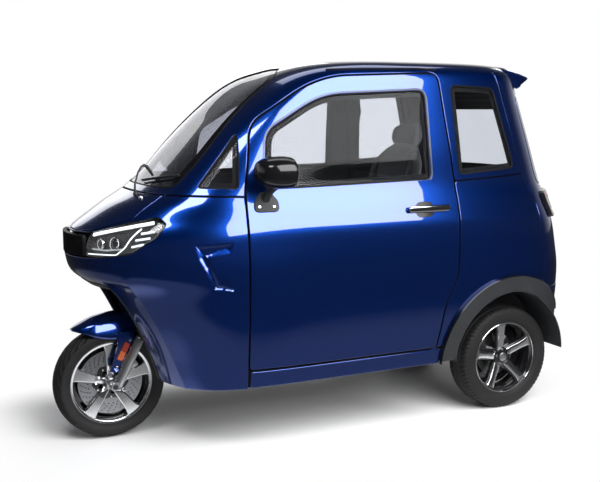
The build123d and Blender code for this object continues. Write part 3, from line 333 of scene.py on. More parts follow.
darkSteel = workedMetal("darkSteel", (0.030, 0.031, 0.034), 0.42, 0.08, metallic=0.3, coat=0.2)
rimBlack = workedMetal("rimBlack", (0.012, 0.012, 0.014), 0.16, 0.05, metallic=0.2, coat=0.8)
greyFace = workedMetal("greyFace", (0.34, 0.35, 0.37), 0.32, 0.06)
windowGlass = clearGlass("windowGlass", (0.80, 0.82, 0.86), 1.16)
screenTint = clearGlass("screenTint", (0.42, 0.43, 0.49), 1.24)
lampGlass = clearGlass("lampGlass", (0.97, 0.98, 0.99), 1.35)
cloth = seatCloth("seatCloth", (0.009, 0.009, 0.010), (0.018, 0.018, 0.020), 700.0)
clothPale = seatCloth("seatClothPale", (0.05, 0.05, 0.055), (0.08, 0.08, 0.085), 500.0)
lampWhite = glowing("lampWhite", (0.86, 0.89, 0.93), 0.55, 160.0)
lampBlock = glowing("lampBlock", (0.62, 0.66, 0.70), 0.12, 240.0)
redLamp = lampPlastic("redLamp", (0.36, 0.006, 0.008), 220.0)
orangeLens = lampPlastic("orangeLens", (0.78, 0.17, 0.05), 300.0)
orangeDeep = lampPlastic("orangeDeep", (0.45, 0.05, 0.02), 300.0)
tailRed = lampPlastic("tailRed", (0.30, 0.006, 0.008), 220.0, smoked=0.36)
print("stage: materials")


# the floor: lit round the car's footprint, white to the camera farther off

floorSettings = {"footprint": (1.12, 0.44, 0), "fade": (0.0, 0.45), "mirror": (1.1, 1.45),
                 "mirrorLevel": (0.22, 0.03)}
floorMaterial, tree, floorShader = startMaterial("paleFloor", {"Roughness": 0.7, "Specular IOR Level": 0.1})
floorNoise = texture(tree, "Noise", Scale=0.7, Detail=2.0).outputs[0]
feed(tree, floorShader["Base Color"], blendColours(tree, floorNoise, (0.93, 0.93, 0.935), (0.95, 0.95, 0.95)))
floorWay = newNode(tree, "VectorMath", (placeIn(tree),), operation="ABSOLUTE").outputs[0]
floorWay = newNode(tree, "VectorMath", (floorWay, floorSettings["footprint"]), operation="SUBTRACT").outputs[0]
floorWay = newNode(tree, "VectorMath", (floorWay,), operation="MAXIMUM").outputs[0]
floorAway = newNode(tree, "VectorMath", (floorWay,), operation="LENGTH").outputs["Value"]
floorFade = spread(tree, floorAway, 0, 1, *floorSettings["fade"], interpolation_type="SMOOTHSTEP")
floorShare = maths(tree, "MULTIPLY", rayIs(tree, "Camera", "Glossy", "Transmission"), floorFade)
floorMirrored = spread(tree, floorAway, *floorSettings["mirrorLevel"], *floorSettings["mirror"])
floorStrength = maths(tree, "MAXIMUM", rayIs(tree, "Camera", "Transmission"), floorMirrored)
floorWhite = newNode(tree, "Emission", Strength=floorStrength, Color=(1, 1, 1, 1))
floorMix = newNode(tree, "MixShader", (floorShare, tree.nodes["Principled BSDF"].outputs[0], floorWhite.outputs[0]))
feed(tree, tree.nodes["Material Output"].inputs["Surface"], floorMix.outputs[0])
bpy.ops.mesh.primitive_grid_add(x_subdivisions=24, y_subdivisions=24, size=60)
floor = bpy.context.object
floor.name = "studioFloor"
floor.data.materials.append(floorMaterial)
floor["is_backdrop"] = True


# the body's smooth skin

# Columns: z, x front, x rear, half width, x middle, wrap front, flat front, wrap rear, flat rear
bodyRows = [
    (275, -838, 1195, 505, 0, 2.3, 6.0, 5.0, 5.5),
    (400, -880, 1215, 522, 0, 2.3, 4.6, 5.0, 5.5),
    (550, -955, 1228, 537, 0, 2.2, 3.8, 5.0, 5.5),
    (680, -1048, 1230, 545, 0, 2.1, 3.2, 4.8, 5.5),
    (745, -1130, 1228, 546, 0, 2.0, 3.0, 4.6, 5.2),
    (800, -1152, 1222, 546, 0, 2.0, 2.9, 4.5, 5.0),
    (865, -1158, 1212, 543, 0, 2.0, 2.8, 4.4, 5.0),
    (925, -1136, 1200, 538, 0, 2.0, 2.8, 4.2, 5.0),
    (980, -1062, 1186, 528, 0, 2.1, 2.9, 4.0, 4.8),
    (1040, -962, 1168, 515, 0, 2.4, 3.1, 4.0, 4.6),
    (1100, -850, 1147, 500, 0, 2.9, 3.4, 4.0, 4.4),
    (1250, -690, 1098, 482, 0, 3.4, 3.6, 4.0, 4.4),
    (1400, -530, 1050, 462, 0, 3.6, 3.8, 4.0, 4.4),
    (1520, -380, 1015, 446, 50, 3.8, 4.0, 4.0, 4.2),
    (1590, -255, 1000, 428, 100, 4.0, 4.0, 4.0, 4.0),
    (1628, -140, 970, 380, 200, 3.6, 3.6, 3.6, 3.6),
    (1648, 40, 860, 270, 350, 3.0, 3.0, 3.0, 3.0),
    (1653.5, 330, 620, 100, 470, 2.4, 2.4, 2.4, 2.4),
    (1654, 440, 520, 30, 480, 2.2, 2.2, 2.2, 2.2),
]


def smoothRows(rows, count):
    # a curve through the rows that keeps its bend even from one to the next
    values = np.array(rows, float)
    steps = np.sqrt((np.diff(values[:, :4], axis=0) ** 2).sum(axis=1))
    knots = np.concatenate([[0], np.cumsum(np.sqrt(steps))])
    size = len(knots)
    gaps = np.diff(knots)
    left = np.zeros((size, size))
    right = np.zeros((size, values.shape[1]))
    left[0, 0] = left[-1, -1] = 1
    for i in range(1, size - 1):
        left[i, i - 1:i + 2] = gaps[i - 1], 2 * (gaps[i - 1] + gaps[i]), gaps[i]
        right[i] = 6 * ((values[i + 1] - values[i]) / gaps[i] - (values[i] - values[i - 1]) / gaps[i - 1])
    bend = np.linalg.solve(left, right)
    at = np.linspace(0, knots[-1], count)
    i = np.clip(np.searchsorted(knots, at) - 1, 0, size - 2)
    gap = gaps[i][:, None]
    low = (at - knots[i])[:, None]
    high = (knots[i + 1] - at)[:, None]
    curve = (bend[i] * high ** 3 + bend[i + 1] * low ** 3) / (6 * gap)
    curve += (values[i] / gap - bend[i] * gap / 6) * high + (values[i + 1] / gap - bend[i + 1] * gap / 6) * low
    curve[:, 0] = np.maximum.accumulate(np.minimum(curve[:, 0], values[-1, 0]))
    return curve


bodyCurve = smoothRows(bodyRows, 4000)
bodyTop = float(bodyCurve[-1, 0])


def rowAt(z):
    return [np.interp(z, bodyCurve[:, 0], bodyCurve[:, column]) for column in range(1, 9)]


def sectionAt(x, z):
    # the level section's middle, half width, reach and two powers at a place
    front, rear, half, mid, wrapFront, flatFront, wrapRear, flatRear = rowAt(z)
    ahead = x < mid
    reach = np.where(ahead, front - mid, rear - mid)
    return mid, half, reach, np.where(ahead, flatFront, flatRear), np.where(ahead, wrapFront, wrapRear)


def outside(points):
    # above 0 outside the skin, below 0 inside
    x, y, z = points.T
    mid, half, reach, flatness, wrap = sectionAt(x, z)
    value = np.abs((x - mid) / reach) ** flatness + np.abs(y / half) ** wrap - 1
    return np.where(z >= bodyTop, 1.0, value)


def skinNormals(points):
    normals = np.zeros_like(points)
    for axis in range(3):
        nudge = np.zeros(3)
        nudge[axis] = 0.6
        normals[:, axis] = outside(points + nudge) - outside(points - nudge)
    normals[points[:, 2] >= bodyTop - 1.5] = (0, 0, 1)
    return normals / np.maximum(np.linalg.norm(normals, axis=1), 1e-9)[:, None]


def outFrom(spot):
    return skinNormals(spot[None, :])[0]


def onSide(flat, side=-1):
    # x and z to the skin's left or right side
    x, z = np.array(flat, float).T
    mid, half, reach, flatness, wrap = sectionAt(x, z)
    share = np.clip(1 - np.abs((x - mid) / reach) ** flatness, 0, 1)
    return np.stack([x, side * half * share ** (1 / wrap), z], axis=1)


def onEnd(flat, end="front"):
    # y and z to the skin's nose or tail
    y, z = np.array(flat, float).T
    front, rear, half, mid, wrapFront, flatFront, wrapRear, flatRear = rowAt(z)
    reach, power, wrap = (front - mid, flatFront, wrapFront) if end == "front" else (rear - mid, flatRear, wrapRear)
    share = np.clip(1 - np.abs(y / half) ** wrap, 0, 1)
    return np.stack([mid + reach * share ** (1 / power), y, z], axis=1)


def chart(centre, ahead, up):
    # a flat map of the directions from a point inside the body
    ahead = Vector(ahead).normalized()
    right = ahead.cross(Vector(up)).normalized()
    return np.array(centre, float), np.array([ahead, right, right.cross(ahead)])


def toChart(view, points):
    centre, axes = view
    ways = points - centre
    ways = ways / np.linalg.norm(ways, axis=1)[:, None]
    parts = ways @ axes.T
    angle = np.arccos(np.clip(parts[:, 0], -1, 1))
    scale = angle / np.maximum(np.sin(angle), 1e-9)
    return parts[:, 1:] * scale[:, None]


def fromChart(view, flat):
    # out along each direction until the skin
    centre, axes = view
    angle = np.linalg.norm(flat, axis=1)
    spread = np.where(angle > 1e-9, np.sin(angle) / np.maximum(angle, 1e-9), 1.0)
    ways = np.cos(angle)[:, None] * axes[0] + (flat * spread[:, None]) @ axes[1:]
    low = np.zeros(len(flat))
    high = np.full(len(flat), 2400.0)
    for _ in range(26):
        middle = (low + high) / 2
        inside = outside(centre + ways * middle[:, None]) < 0
        low = np.where(inside, middle, low)
        high = np.where(inside, high, middle)
    return centre + ways * ((low + high) / 2)[:, None]


def distanceTo(points, line, closed=False):
    # from flat points to the nearest place on a line of points
    line = np.array(line, float)
    ends = np.roll(line, -1, axis=0) if closed else line[1:]
    starts = line if closed else line[:-1]
    best = np.full(len(points), 1e9)
    for a, b in zip(starts, ends):
        way = b - a
        share = np.clip(((points - a) @ way) / max(way @ way, 1e-12), 0, 1)
        best = np.minimum(best, np.linalg.norm(points - a - share[:, None] * way, axis=1))
    return best


def withinLoop(points, loop):
    inside = np.zeros(len(points), bool)
    x, y = points.T
    for (ax, ay), (bx, by) in zip(loop, np.roll(loop, -1, axis=0)):
        if ay != by:
            crosses = (ay > y) != (by > y)
            inside ^= crosses & (x < (bx - ax) * (y - ay) / (by - ay) + ax)
    return inside


# Raised and sunk lines of the panels: seen from the side as x, z
hoodCrease = [(-1005, 952), (-940, 995), (-871, 1039), (-788, 1089)]
shieldCrease = [(-985, 745), (-970, 727), (-906, 636), (-850, 529), (-804, 420), (-768, 321), (-748, 263)]
sidePress = [(-733, 886), (-586, 897), (-603, 864), (-692, 842), (-655, 752), (-648, 726), (-560, 700), (-666, 708),
             (-724, 838)]


def relief(points):
    # how far the pressed lines stand out of the skin
    flat = np.stack([points[:, 0], points[:, 2]], axis=1)
    rise = np.zeros(len(points))
    nose = (flat[:, 0] < -520) & (flat[:, 1] < 1100)
    if nose.any():
        part = flat[nose]
        lift = 5.0 * np.exp(-distanceTo(part, shieldCrease) / 22.0)
        depth = np.where(withinLoop(part, np.array(sidePress, float)), distanceTo(part, sidePress, True), 0)
        rise[nose] = lift - 7.0 * np.clip(depth / 12.0, 0, 1)
    return rise


def dressed(points):
    # skin points with their relief, and the normals that go with it
    normals = skinNormals(points)
    rise = relief(points)
    raised = points + normals * rise[:, None]
    if np.abs(rise).max(initial=0) > 0.01:
        slope = np.zeros_like(points)
        for axis in range(3):
            nudge = np.zeros(3)
            nudge[axis] = 0.8
            slope[:, axis] = (relief(points + nudge) - relief(points - nudge)) / 1.6
        slope -= (slope * normals).sum(axis=1)[:, None] * normals
        normals = normals - slope
        normals /= np.linalg.norm(normals, axis=1)[:, None]
    return raised, normals


# outlines

def roundedLine(rows, closed=True, gap=9.0):
    # corners rounded by their radius, with a point every few millimetres
    corners = [np.array(row[:2], float) for row in rows]
    radii = [row[2] if len(row) > 2 else 0 for row in rows]
    count = len(corners)
    trims = []
    for i in range(count):
        if radii[i] and (closed or 0 < i < count - 1):
            back = corners[i - 1] - corners[i]
            on = corners[(i + 1) % count] - corners[i]
            turn = math.acos(np.clip(back @ on / np.linalg.norm(back) / np.linalg.norm(on), -1, 1))
            trims.append(radii[i] / math.tan(turn / 2))
        else:
            trims.append(0)
    points = []
    for i in range(count if closed else count - 1):
        a, b = corners[i], corners[(i + 1) % count]
        way = (b - a) / np.linalg.norm(b - a)
        length = np.linalg.norm(b - a)
        share = min(1.0, length / max(trims[i] + trims[(i + 1) % count], 1e-6))
        start = a + way * trims[i] * share
        end = b - way * trims[(i + 1) % count] * share
        pieces = max(1, int(np.linalg.norm(end - start) / gap))
        points += [start + (end - start) * k / pieces for k in range(pieces + 1)]
        if trims[(i + 1) % count] and (closed or i + 1 < count - 1):
            after = corners[(i + 2) % count]
            out = (after - b) / np.linalg.norm(after - b)
            nextLength = np.linalg.norm(after - b)
            nextShare = min(1.0, nextLength / max(trims[(i + 1) % count] + trims[(i + 2) % count], 1e-6))
            leave = b + out * trims[(i + 1) % count] * nextShare
            steps = max(3, int(np.linalg.norm(leave - end) / gap))
            points += [(1 - t) ** 2 * end + 2 * t * (1 - t) * b + t * t * leave
                       for t in (k / steps for k in range(1, steps))]
    if not closed:
        points.append(corners[-1])
    cleaned = [points[0]]
    for point in points[1:]:
        if np.linalg.norm(point - cleaned[-1]) > 0.5:
            cleaned.append(point)
    if closed and np.linalg.norm(cleaned[0] - cleaned[-1]) < 0.5:
        cleaned.pop()
    return np.array(cleaned)


def grown(loop, by):
    # a closed outline moved outwards
    back = np.roll(loop, 1, axis=0)
    on = np.roll(loop, -1, axis=0)
    way = on - back
    way /= np.linalg.norm(way, axis=1)[:, None]
    area = (loop[:, 0] * on[:, 1] - on[:, 0] * loop[:, 1]).sum()
    out = np.stack([way[:, 1], -way[:, 0]], axis=1) * (1 if area > 0 else -1)
    return loop + out * by


def evened(points, gap=9.0, closed=True):
    # a line of space points with an even gap between them
    line = np.vstack([points, points[:1]]) if closed else np.array(points)
    steps = np.linalg.norm(np.diff(line, axis=0), axis=1)
    far = np.concatenate([[0], np.cumsum(steps)])
    count = max(3, int(far[-1] / gap))
    at = np.linspace(0, far[-1], count + 1)
    even = np.stack([np.interp(at, far, line[:, axis]) for axis in range(3)], axis=1)
    return even[:-1] if closed else even


def otherSide(points):
    # the right-hand twin of left-hand points, in the same order
    return points * np.array([1, -1, 1])


# mesh makers

def circleTurns(count, start=0.0):
    return [start + 2 * math.pi * k / count for k in range(count)]


def tubeFaces(rows, size, closed=False):
    # quads round rows of points, with a cap at each open end
    faces = []
    for i in range(rows if closed else rows - 1):
        j = (i + 1) % rows
        faces += [(i * size + k, i * size + (k + 1) % size, j * size + (k + 1) % size,
                   j * size + k) for k in range(size)]
    if not closed:
        faces += [tuple(range(size))[::-1], tuple(range((rows - 1) * size, rows * size))]
    return faces


def within(points, loops):
    # inside the first loop and outside the others
    inside = withinLoop(points, loops[0])
    for hole in loops[1:]:
        inside &= ~withinLoop(points, hole)
    return inside


def filled(loops, loose=(), close=1e-6):
    # triangles within the first loop of flat points and outside the others, with loose points between
    edges, at = [], 0
    for loop in loops:
        edges += [(at + i, at + (i + 1) % len(loop)) for i in range(len(loop))]
        at += len(loop)
    cut = geometry.delaunay_2d_cdt([Vector(p) for part in (*loops, loose) for p in part], edges, [], 0, close)
    made = np.array([list(v) for v in cut[0]])
    triangles = np.array([f for f in cut[2] if len(f) == 3])
    return made, triangles[within(made[triangles].mean(axis=1), loops)], [o[0] if o else -1 for o in cut[3]]


def numbersOf(items, key):
    values = np.zeros(len(items) * 3)
    items.foreach_get(key, values)
    return values.reshape(-1, 3)


def madeMesh(thing):
    # the mesh that an object's modifiers make
    return bpy.data.meshes.new_from_object(thing.evaluated_get(bpy.context.evaluated_depsgraph_get()))


def rework(mesh, change):
    work = bmesh.new()
    work.from_mesh(mesh)
    change(work)
    work.to_mesh(mesh)
    work.free()


def bareMesh(name, points, faces):
    # points in millimetres
    mesh = bpy.data.meshes.new(name)
    mesh.from_pydata((np.array(points, float) * mm).tolist(), [], [tuple(int(v) for v in face) for face in faces])
    return mesh


homes = {}      # each piece's body and slot, for its twin


def placed(name, mesh, body, slot):
    piece = bpy.data.objects.new(name, mesh)
    scene.collection.objects.link(piece)
    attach(piece, body)
    homes[name] = (body, slot)
    return piece


def addMesh(name, points, faces, materials, body, slot, faceSlots=None, cornerNormals=None):
    # a finished piece: points in millimetres, its place in its mesh
    mesh = bareMesh(name, points, faces)
    for material in materials:
        mesh.materials.append(material)
    if faceSlots is not None:
        mesh.polygons.foreach_set("material_index", np.array(faceSlots, np.int32))
    mesh.shade_smooth()
    if cornerNormals is not None:
        mesh.normals_split_custom_set(np.array(cornerNormals, float).tolist())
    mesh.update()
    return placed(name, mesh, body, slot)


def mirrorPiece(source):
    # the twin on the other side, named after it
    name = source.name.replace("Left", "Right") if "Left" in source.name else source.name.replace("Right", "Left")
    body, slot = homes[source.name]
    mesh = source.data.copy()
    mesh.name = name
    points = numbersOf(mesh.vertices, "co") * (1, -1, 1)
    custom = mesh.has_custom_normals
    if custom:
        normals = numbersOf(mesh.corner_normals, "vector") * (1, -1, 1)
        corners = [(p.loop_start, p.loop_total) for p in mesh.polygons]
        normals = normals[np.concatenate([[s] + list(range(s + t - 1, s, -1)) for s, t in corners])]
    mesh.vertices.foreach_set("co", points.ravel())
    mesh.flip_normals()
    if custom:
        mesh.normals_split_custom_set(normals.tolist())
    mesh.update()
    return placed(name, mesh, body.replace("left", "right"), slot)


def loopFrames(loop, closed=True):
    # the skin's normal and the way along at each point of a line on the skin
    normals = skinNormals(loop)
    if closed:
        along = np.roll(loop, -1, axis=0) - np.roll(loop, 1, axis=0)
    else:
        along = np.gradient(loop, axis=0)
    along /= np.maximum(np.linalg.norm(along, axis=1), 1e-9)[:, None]
    across = np.cross(normals, along)
    across /= np.maximum(np.linalg.norm(across, axis=1), 1e-9)[:, None]
    return normals, across


def inwardSign(view, loop, across, loops):
    # which way across the line leads into the panel
    return 1.0 if within(toChart(view, loop + across * 4.0), loops).mean() > 0.5 else -1.0


def panel(name, view, outer, holes, body, slot, materials, edge=3.0, depth=14.0, sink=0.0, gap=14.0, extra=()):
    # a pressed panel with rolled edges: outer and holes are lines on the skin
    loops3 = [evened(outer, min(9.0, gap))] + [evened(hole, min(7.0, gap)) for hole in holes]
    loopsFlat = [toChart(view, loop) for loop in loops3]
    points, normals, rings = [], [], []
    count = 0
    for loop in loops3:
        skin, across = loopFrames(loop)
        sign = inwardSign(view, loop, across, loopsFlat)
        inward = across * sign
        rows = []
        for bend in np.radians((0, 30, 60, 90)):
            place = loop + inward * edge * (1 - math.sin(bend))
            place, skinAt = dressed(fromChart(view, toChart(view, place)))
            points.append(place - skinAt * (edge * (1 - math.cos(bend)) + sink))
            normals.append(skinAt * math.cos(bend) - inward * math.sin(bend))
            rows.append(count + np.arange(len(loop)))
            count += len(loop)
        rings.append((rows, inward, sign))
    bounds = [toChart(view, points[4 * i] + normals[4 * i] * sink) for i in range(len(loops3))]
    step = gap / np.median(np.linalg.norm(loops3[0] - view[0], axis=1))
    low, high = bounds[0].min(axis=0), bounds[0].max(axis=0)
    across, up = np.meshgrid(np.arange(low[0], high[0], step), np.arange(low[1], high[1], step * 0.866))
    across[1::2] += step / 2
    grid = np.stack([across.ravel(), up.ravel()], axis=1)
    for line in extra:                     # mesh points along each crease
        line = toChart(view, line)
        grid = np.vstack([grid[distanceTo(grid, line) > step * 0.25], line])
    grid = grid[within(grid, bounds)]
    for bound in bounds:
        grid = grid[distanceTo(grid, bound, True) > step * 0.45]
    made, triangles, sources = filled(bounds, grid, 1e-7)
    place, normal = dressed(fromChart(view, made))
    place = place - normal * sink
    ringIds = np.concatenate([rows[0] for rows, _, _ in rings])
    fresh = [i for i, source in enumerate(sources) if not 0 <= source < len(ringIds)]
    ids = np.array([ringIds[source] if 0 <= source < len(ringIds) else 0 for source in sources])
    ids[fresh] = count + np.arange(len(fresh))
    allPoints = np.vstack(points + [place[fresh]])
    allNormals = np.vstack(normals + [normal[fresh]])
    top = ids[triangles]
    a, b, c = (allPoints[top[:, k]] for k in range(3))
    if ((np.cross(b - a, c - a) * allNormals[top[:, 0]]).sum(axis=1) > 0).mean() < 0.5:
        top = top[:, ::-1]
    size = len(allPoints)
    skinBack = skinNormals(allPoints)
    faces = top.tolist()
    corner = allNormals[top].reshape(-1, 3).tolist()
    lining = 1 if len(materials) > 1 else 0
    slots = [0] * len(faces)

    def addQuad(quad, ways, sign, kind):
        faces.append(quad[::-1] if sign > 0 else quad)
        corner.extend([list(way) for way in (ways[::-1] if sign > 0 else ways)])
        slots.append(kind)

    for rows, inward, sign in rings:
        number = len(rows[0])
        for upper, lower in zip(rows[:-1], rows[1:]):
            for i in range(number):
                quad = [upper[i], upper[(i + 1) % number], lower[(i + 1) % number], lower[i]]
                addQuad(quad, [allNormals[q] for q in quad], sign, 0)
        for i in range(number):
            j = (i + 1) % number
            addQuad([rows[-1][i], rows[-1][j], size + rows[-1][j], size + rows[-1][i]],
                    [-inward[i], -inward[j], -inward[j], -inward[i]], sign, lining)
    bottom = top[:, ::-1]
    faces += (bottom + size).tolist()
    slots += [lining] * len(bottom)
    corner += (-skinBack[bottom]).reshape(-1, 3).tolist()
    for rows, inward, sign in rings:       # the back runs out under the rolled edge
        number = len(rows[0])
        for upper, lower in zip(rows[:-1], rows[1:]):
            for i in range(number):
                quad = [upper[i], lower[i], lower[(i + 1) % number], upper[(i + 1) % number]]
                addQuad([size + q for q in quad], [-skinBack[q] for q in quad], sign, lining)
    return addMesh(name, np.vstack([allPoints, allPoints - skinBack * depth]), faces, materials, body, slot, slots,
                   corner)


def trimAlong(name, line, profile, body, slot, material, closed=True, gap=8.0):
    # a strip with one cross-section, run along a line on the skin; profile: across, height
    loop = evened(line, gap, closed)
    normals, across = loopFrames(loop, closed)
    section = np.array(profile, float)
    area = (section[:, 0] * np.roll(section[:, 1], -1) - np.roll(section[:, 0], -1) * section[:, 1]).sum()
    points = (loop[:, None, :] + across[:, None, :] * section[None, :, :1]
              + normals[:, None, :] * section[None, :, 1:]).reshape(-1, 3)
    faces = tubeFaces(len(loop), len(section), closed)
    piece = addMesh(name, points, faces if area > 0 else [face[::-1] for face in faces], [material], body, slot)
    setBySharpness(piece, 35)
    recalculate(piece.data)
    return piece


def setBySharpness(piece, degrees):
    # smooth faces with hard edges kept where they turn sharply
    def change(work):
        for edge in work.edges:
            edge.smooth = not (len(edge.link_faces) == 2 and edge.calc_face_angle(0) > math.radians(degrees))
    rework(piece.data, change)


def recalculate(mesh, near=1e-6):
    def change(work):
        bmesh.ops.remove_doubles(work, verts=work.verts, dist=near)
        bmesh.ops.recalc_face_normals(work, faces=work.faces)
    rework(mesh, change)


# lines that part the skin

doorOutline = [
    (-520, 361, 14), (-520, 1085, 500), (-470, 1372, 150), (-170, 1570, 500), (417, 1593, 40),
    (480, 1130, 400), (490, 950, 500), (482, 685, 110), (422, 560, 160), (388, 361, 14),
]
doorWindow = [(-445, 1108, 24), (-415, 1345, 110), (-170, 1494, 400), (348, 1518, 46), (359, 1126, 24)]
quarterLight = [(-700, 1116, 8), (-548, 1112, 14), (-519, 1342, 8)]
rearSideWindow = [(512, 1142, 22), (488, 1542, 26), (742, 1532, 50), (850, 1162, 24)]
tailLine = [(762, 1602), (905, 1140, 300), (980, 1000, 160), (1022, 745, 300), (1008, 602)]
screenHalf = [(300, 1112, 30), (318, 1240, 400), (252, 1572, 90), (60, 1618, 150)]
hoodHalf = [(291, 1092), (284, 988, 12), (172, 938, 30), (60, 931)]
faceHalf = [(60, 928), (160, 931, 20), (186, 940, 30), (352, 1003, 22), (386, 975, 22), (392, 925, 24),
            (345, 855, 40), (240, 832, 120), (160, 827, 20), (60, 826)]
tailgateHalf = [(285, 690, 40), (292, 1066, 24), (388, 1078, 26), (345, 1500, 50)]
rearGlassHalf = [(352, 1106, 26), (316, 1478, 40)]
tailLamp = [(270, 913, 12), (270, 1041, 12), (412, 1041, 12), (430, 913, 12)]
arch = {"x": 805.0, "z": 275.0, "edge": 388.0, "bead": 387.5}
gaps = {"door": 6.5, "seam": 2.5}


def bothHalves(half):
    return half + [(-row[0],) + tuple(row[1:]) for row in reversed(half)]


def beltHeight(x):
    # the seam under the glass: level over the nose, rising to the tail
    return np.interp(x, [-1300, -520, 480, 1300], [1097, 1080, 1113, 1150])


def beltAhead(lift):
    # the belt line round the nose, from the left door to the right one
    turns = np.radians(np.linspace(-90, 90, 121))
    edge = abs(onSide([(-527, beltHeight(-527) + lift)])[0, 1])
    y = edge * np.sin(turns)
    z = np.full(len(y), beltHeight(-850) + lift)
    for _ in range(4):
        x = onEnd(np.stack([y, z], axis=1))[:, 0]
        x[[0, -1]] = -527
        z = beltHeight(x) + lift
    line = onEnd(np.stack([y, z], axis=1))
    line[[0, -1], 0] = -527
    return line


doorLoop = roundedLine(doorOutline)
doorEdge = grown(doorLoop, gaps["door"])
doorSkin = onSide(doorLoop)
doorCut = onSide(doorEdge)
tailCurve = roundedLine(tailLine, closed=False)
screenLoop = onEnd(roundedLine(bothHalves(screenHalf)))
faceLoop = onEnd(roundedLine(bothHalves(faceHalf)))
tailgateFlat = roundedLine(bothHalves(tailgateHalf))
tailgateLoop = onEnd(tailgateFlat, "rear")
tailgateCut = onEnd(grown(tailgateFlat, gaps["door"]), "rear")
rearGlassLoop = onEnd(roundedLine(bothHalves(rearGlassHalf)), "rear")
tailLampFlat = roundedLine(tailLamp)
windowLoop = onSide(roundedLine(doorWindow))
quarterLoop = onSide(roundedLine(quarterLight))
rearSideLoop = onSide(roundedLine(rearSideWindow))


def doorPath(above):
    # the door cut's points over a height, from the front edge over the top to the rear edge
    ring = doorEdge
    start = int(np.argmin(np.abs(ring[:, 0] + 520) + np.abs(ring[:, 1] - 700)))
    ring = np.roll(ring, -start, axis=0)
    if ring[5, 1] < ring[0, 1]:
        ring = np.roll(ring[::-1], 1, axis=0)
    return ring[[z > above(x) for x, z in ring]]


overDoor = onSide(doorPath(lambda x: beltHeight(x) + gaps["seam"]))
behindDoor = doorEdge[(doorEdge[:, 0] > 350) & (doorEdge[:, 1] > 352)]
behindDoor = behindDoor[np.argsort(-behindDoor[:, 1])]
behindDoor = behindDoor[behindDoor[:, 1] < beltHeight(480) - gaps["seam"]]


def sideLine(points):
    return onSide(np.array(points, float))


def beltBehind(lift):
    # the seam behind the door, from the door to the tail
    x = np.linspace(496, 905, 30)
    return sideLine(np.stack([x, beltHeight(x) + lift], axis=1))


def tailSide(low, high, shift):
    # the tail's front edge between two heights, from the top down
    part = tailCurve[(tailCurve[:, 1] > low) & (tailCurve[:, 1] < high)]
    return sideLine(part + (shift, 0))


def levelRound(z, xFrom, end="rear"):
    # a level line round one end, from the left side to the right
    edge = abs(onSide([(xFrom, z)])[0, 1])
    turns = np.radians(np.linspace(-90, 90, 81))
    return onEnd(np.stack([edge * np.sin(turns), np.full(81, float(z))], axis=1), end)


views = {
    "top": chart((120, 0, 1000), (0, 0, 1), (1, 0, 0)),
    "nose": chart((-520, 0, 780), (-1, 0, 0.02), (0, 0, 1)),
    "tail": chart((700, 0, 950), (1, 0, 0), (0, 0, 1)),
    "left": chart((0, 120, 900), (0, -1, 0), (0, 0, 1)),
    "rearLeft": chart((760, 60, 760), (0, -1, 0), (0, 0, 1)),
}
shell = [paint, cabinBlack]

# Cab: pillars, roof and window surrounds in one skin
topBack = levelRound(1602, 762)
cabOuter = np.vstack([
    beltAhead(gaps["seam"]),
    otherSide(overDoor),
    otherSide(beltBehind(gaps["seam"])),
    otherSide(tailSide(1150, 1600, -gaps["seam"]))[::-1],
    topBack[::-1],
    tailSide(1150, 1600, -gaps["seam"]),
    beltBehind(gaps["seam"])[::-1],
    overDoor[::-1],
])
cabShell = panel("cabShell", views["top"], cabOuter,
                 [screenLoop, quarterLoop, otherSide(quarterLoop), rearSideLoop, otherSide(rearSideLoop)],
                 "body", "body_blue", shell, gap=17.0)

# Nose: wings, hood edge and the wheel's opening in one skin
openingEdge = np.array([(232, 277), (217, 292), (205, 408), (192, 529), (185, 641), (196, 690), (196, 708),
        (170, 716)], float)
openingLine = roundedLine([(y, z, 0 if i in (0, 7) else 30) for i, (y, z) in enumerate(openingEdge)], closed=False)
hoodLine = roundedLine(hoodHalf, closed=False)
belt = beltAhead(-gaps["seam"])
hoodGap = gaps["seam"]
doorDown = sideLine([(-526.5, z) for z in np.linspace(1076, 278, 90)])
bottomY = np.linspace(abs(doorDown[-1, 1]) - 1, 236, 30)
rightBottom = onEnd(np.stack([bottomY, np.full(30, 278.0)], axis=1))
hoodEdge = onEnd(hoodLine)
openTop = onEnd([(y, 716) for y in np.linspace(165, -165, 30)])
noseOuter = np.vstack([
    belt[belt[:, 1] < -294],
    otherSide(hoodEdge),
    hoodEdge[::-1],
    belt[belt[:, 1] > 294],
    otherSide(doorDown),
    rightBottom,
    onEnd(openingLine),
    openTop,
    otherSide(onEnd(openingLine))[::-1],
    otherSide(rightBottom)[::-1],
    doorDown[::-1],
])
creaseLines = []
for line in (hoodCrease, shieldCrease):
    dense = roundedLine([(x, z, 120) for x, z in line], closed=False)
    dense = dense[(dense[:, 1] < 1085) & (dense[:, 1] > 282)]
    creaseLines += [onSide(dense), otherSide(onSide(dense))]
pressLine = roundedLine([(x, z, 4) for x, z in sidePress])
for step in (0.0, -7.0):
    creaseLines += [onSide(grown(pressLine, step)), otherSide(onSide(grown(pressLine, step)))]
noseSkin = panel("noseSkin", views["nose"], noseOuter, [faceLoop], "body", "body_blue", shell, gap=11.0,
                 extra=creaseLines)

hoodBelt = belt[(belt[:, 1] > -288) & (belt[:, 1] < 288)]
hoodInner = onEnd(np.stack([hoodLine[:, 0] - hoodGap, hoodLine[:, 1] + hoodGap], axis=1))
hoodInner = hoodInner[hoodInner[:, 2] < 1086]
hoodOuter = np.vstack([hoodBelt, hoodInner, otherSide(hoodInner)[::-1]])
hoodSkin = panel("hoodSkin", views["nose"], hoodOuter, [], "body", "body_blue", shell, gap=16.0)
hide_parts("front_cowl")
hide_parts("hood_panel")
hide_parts("cab_frame")

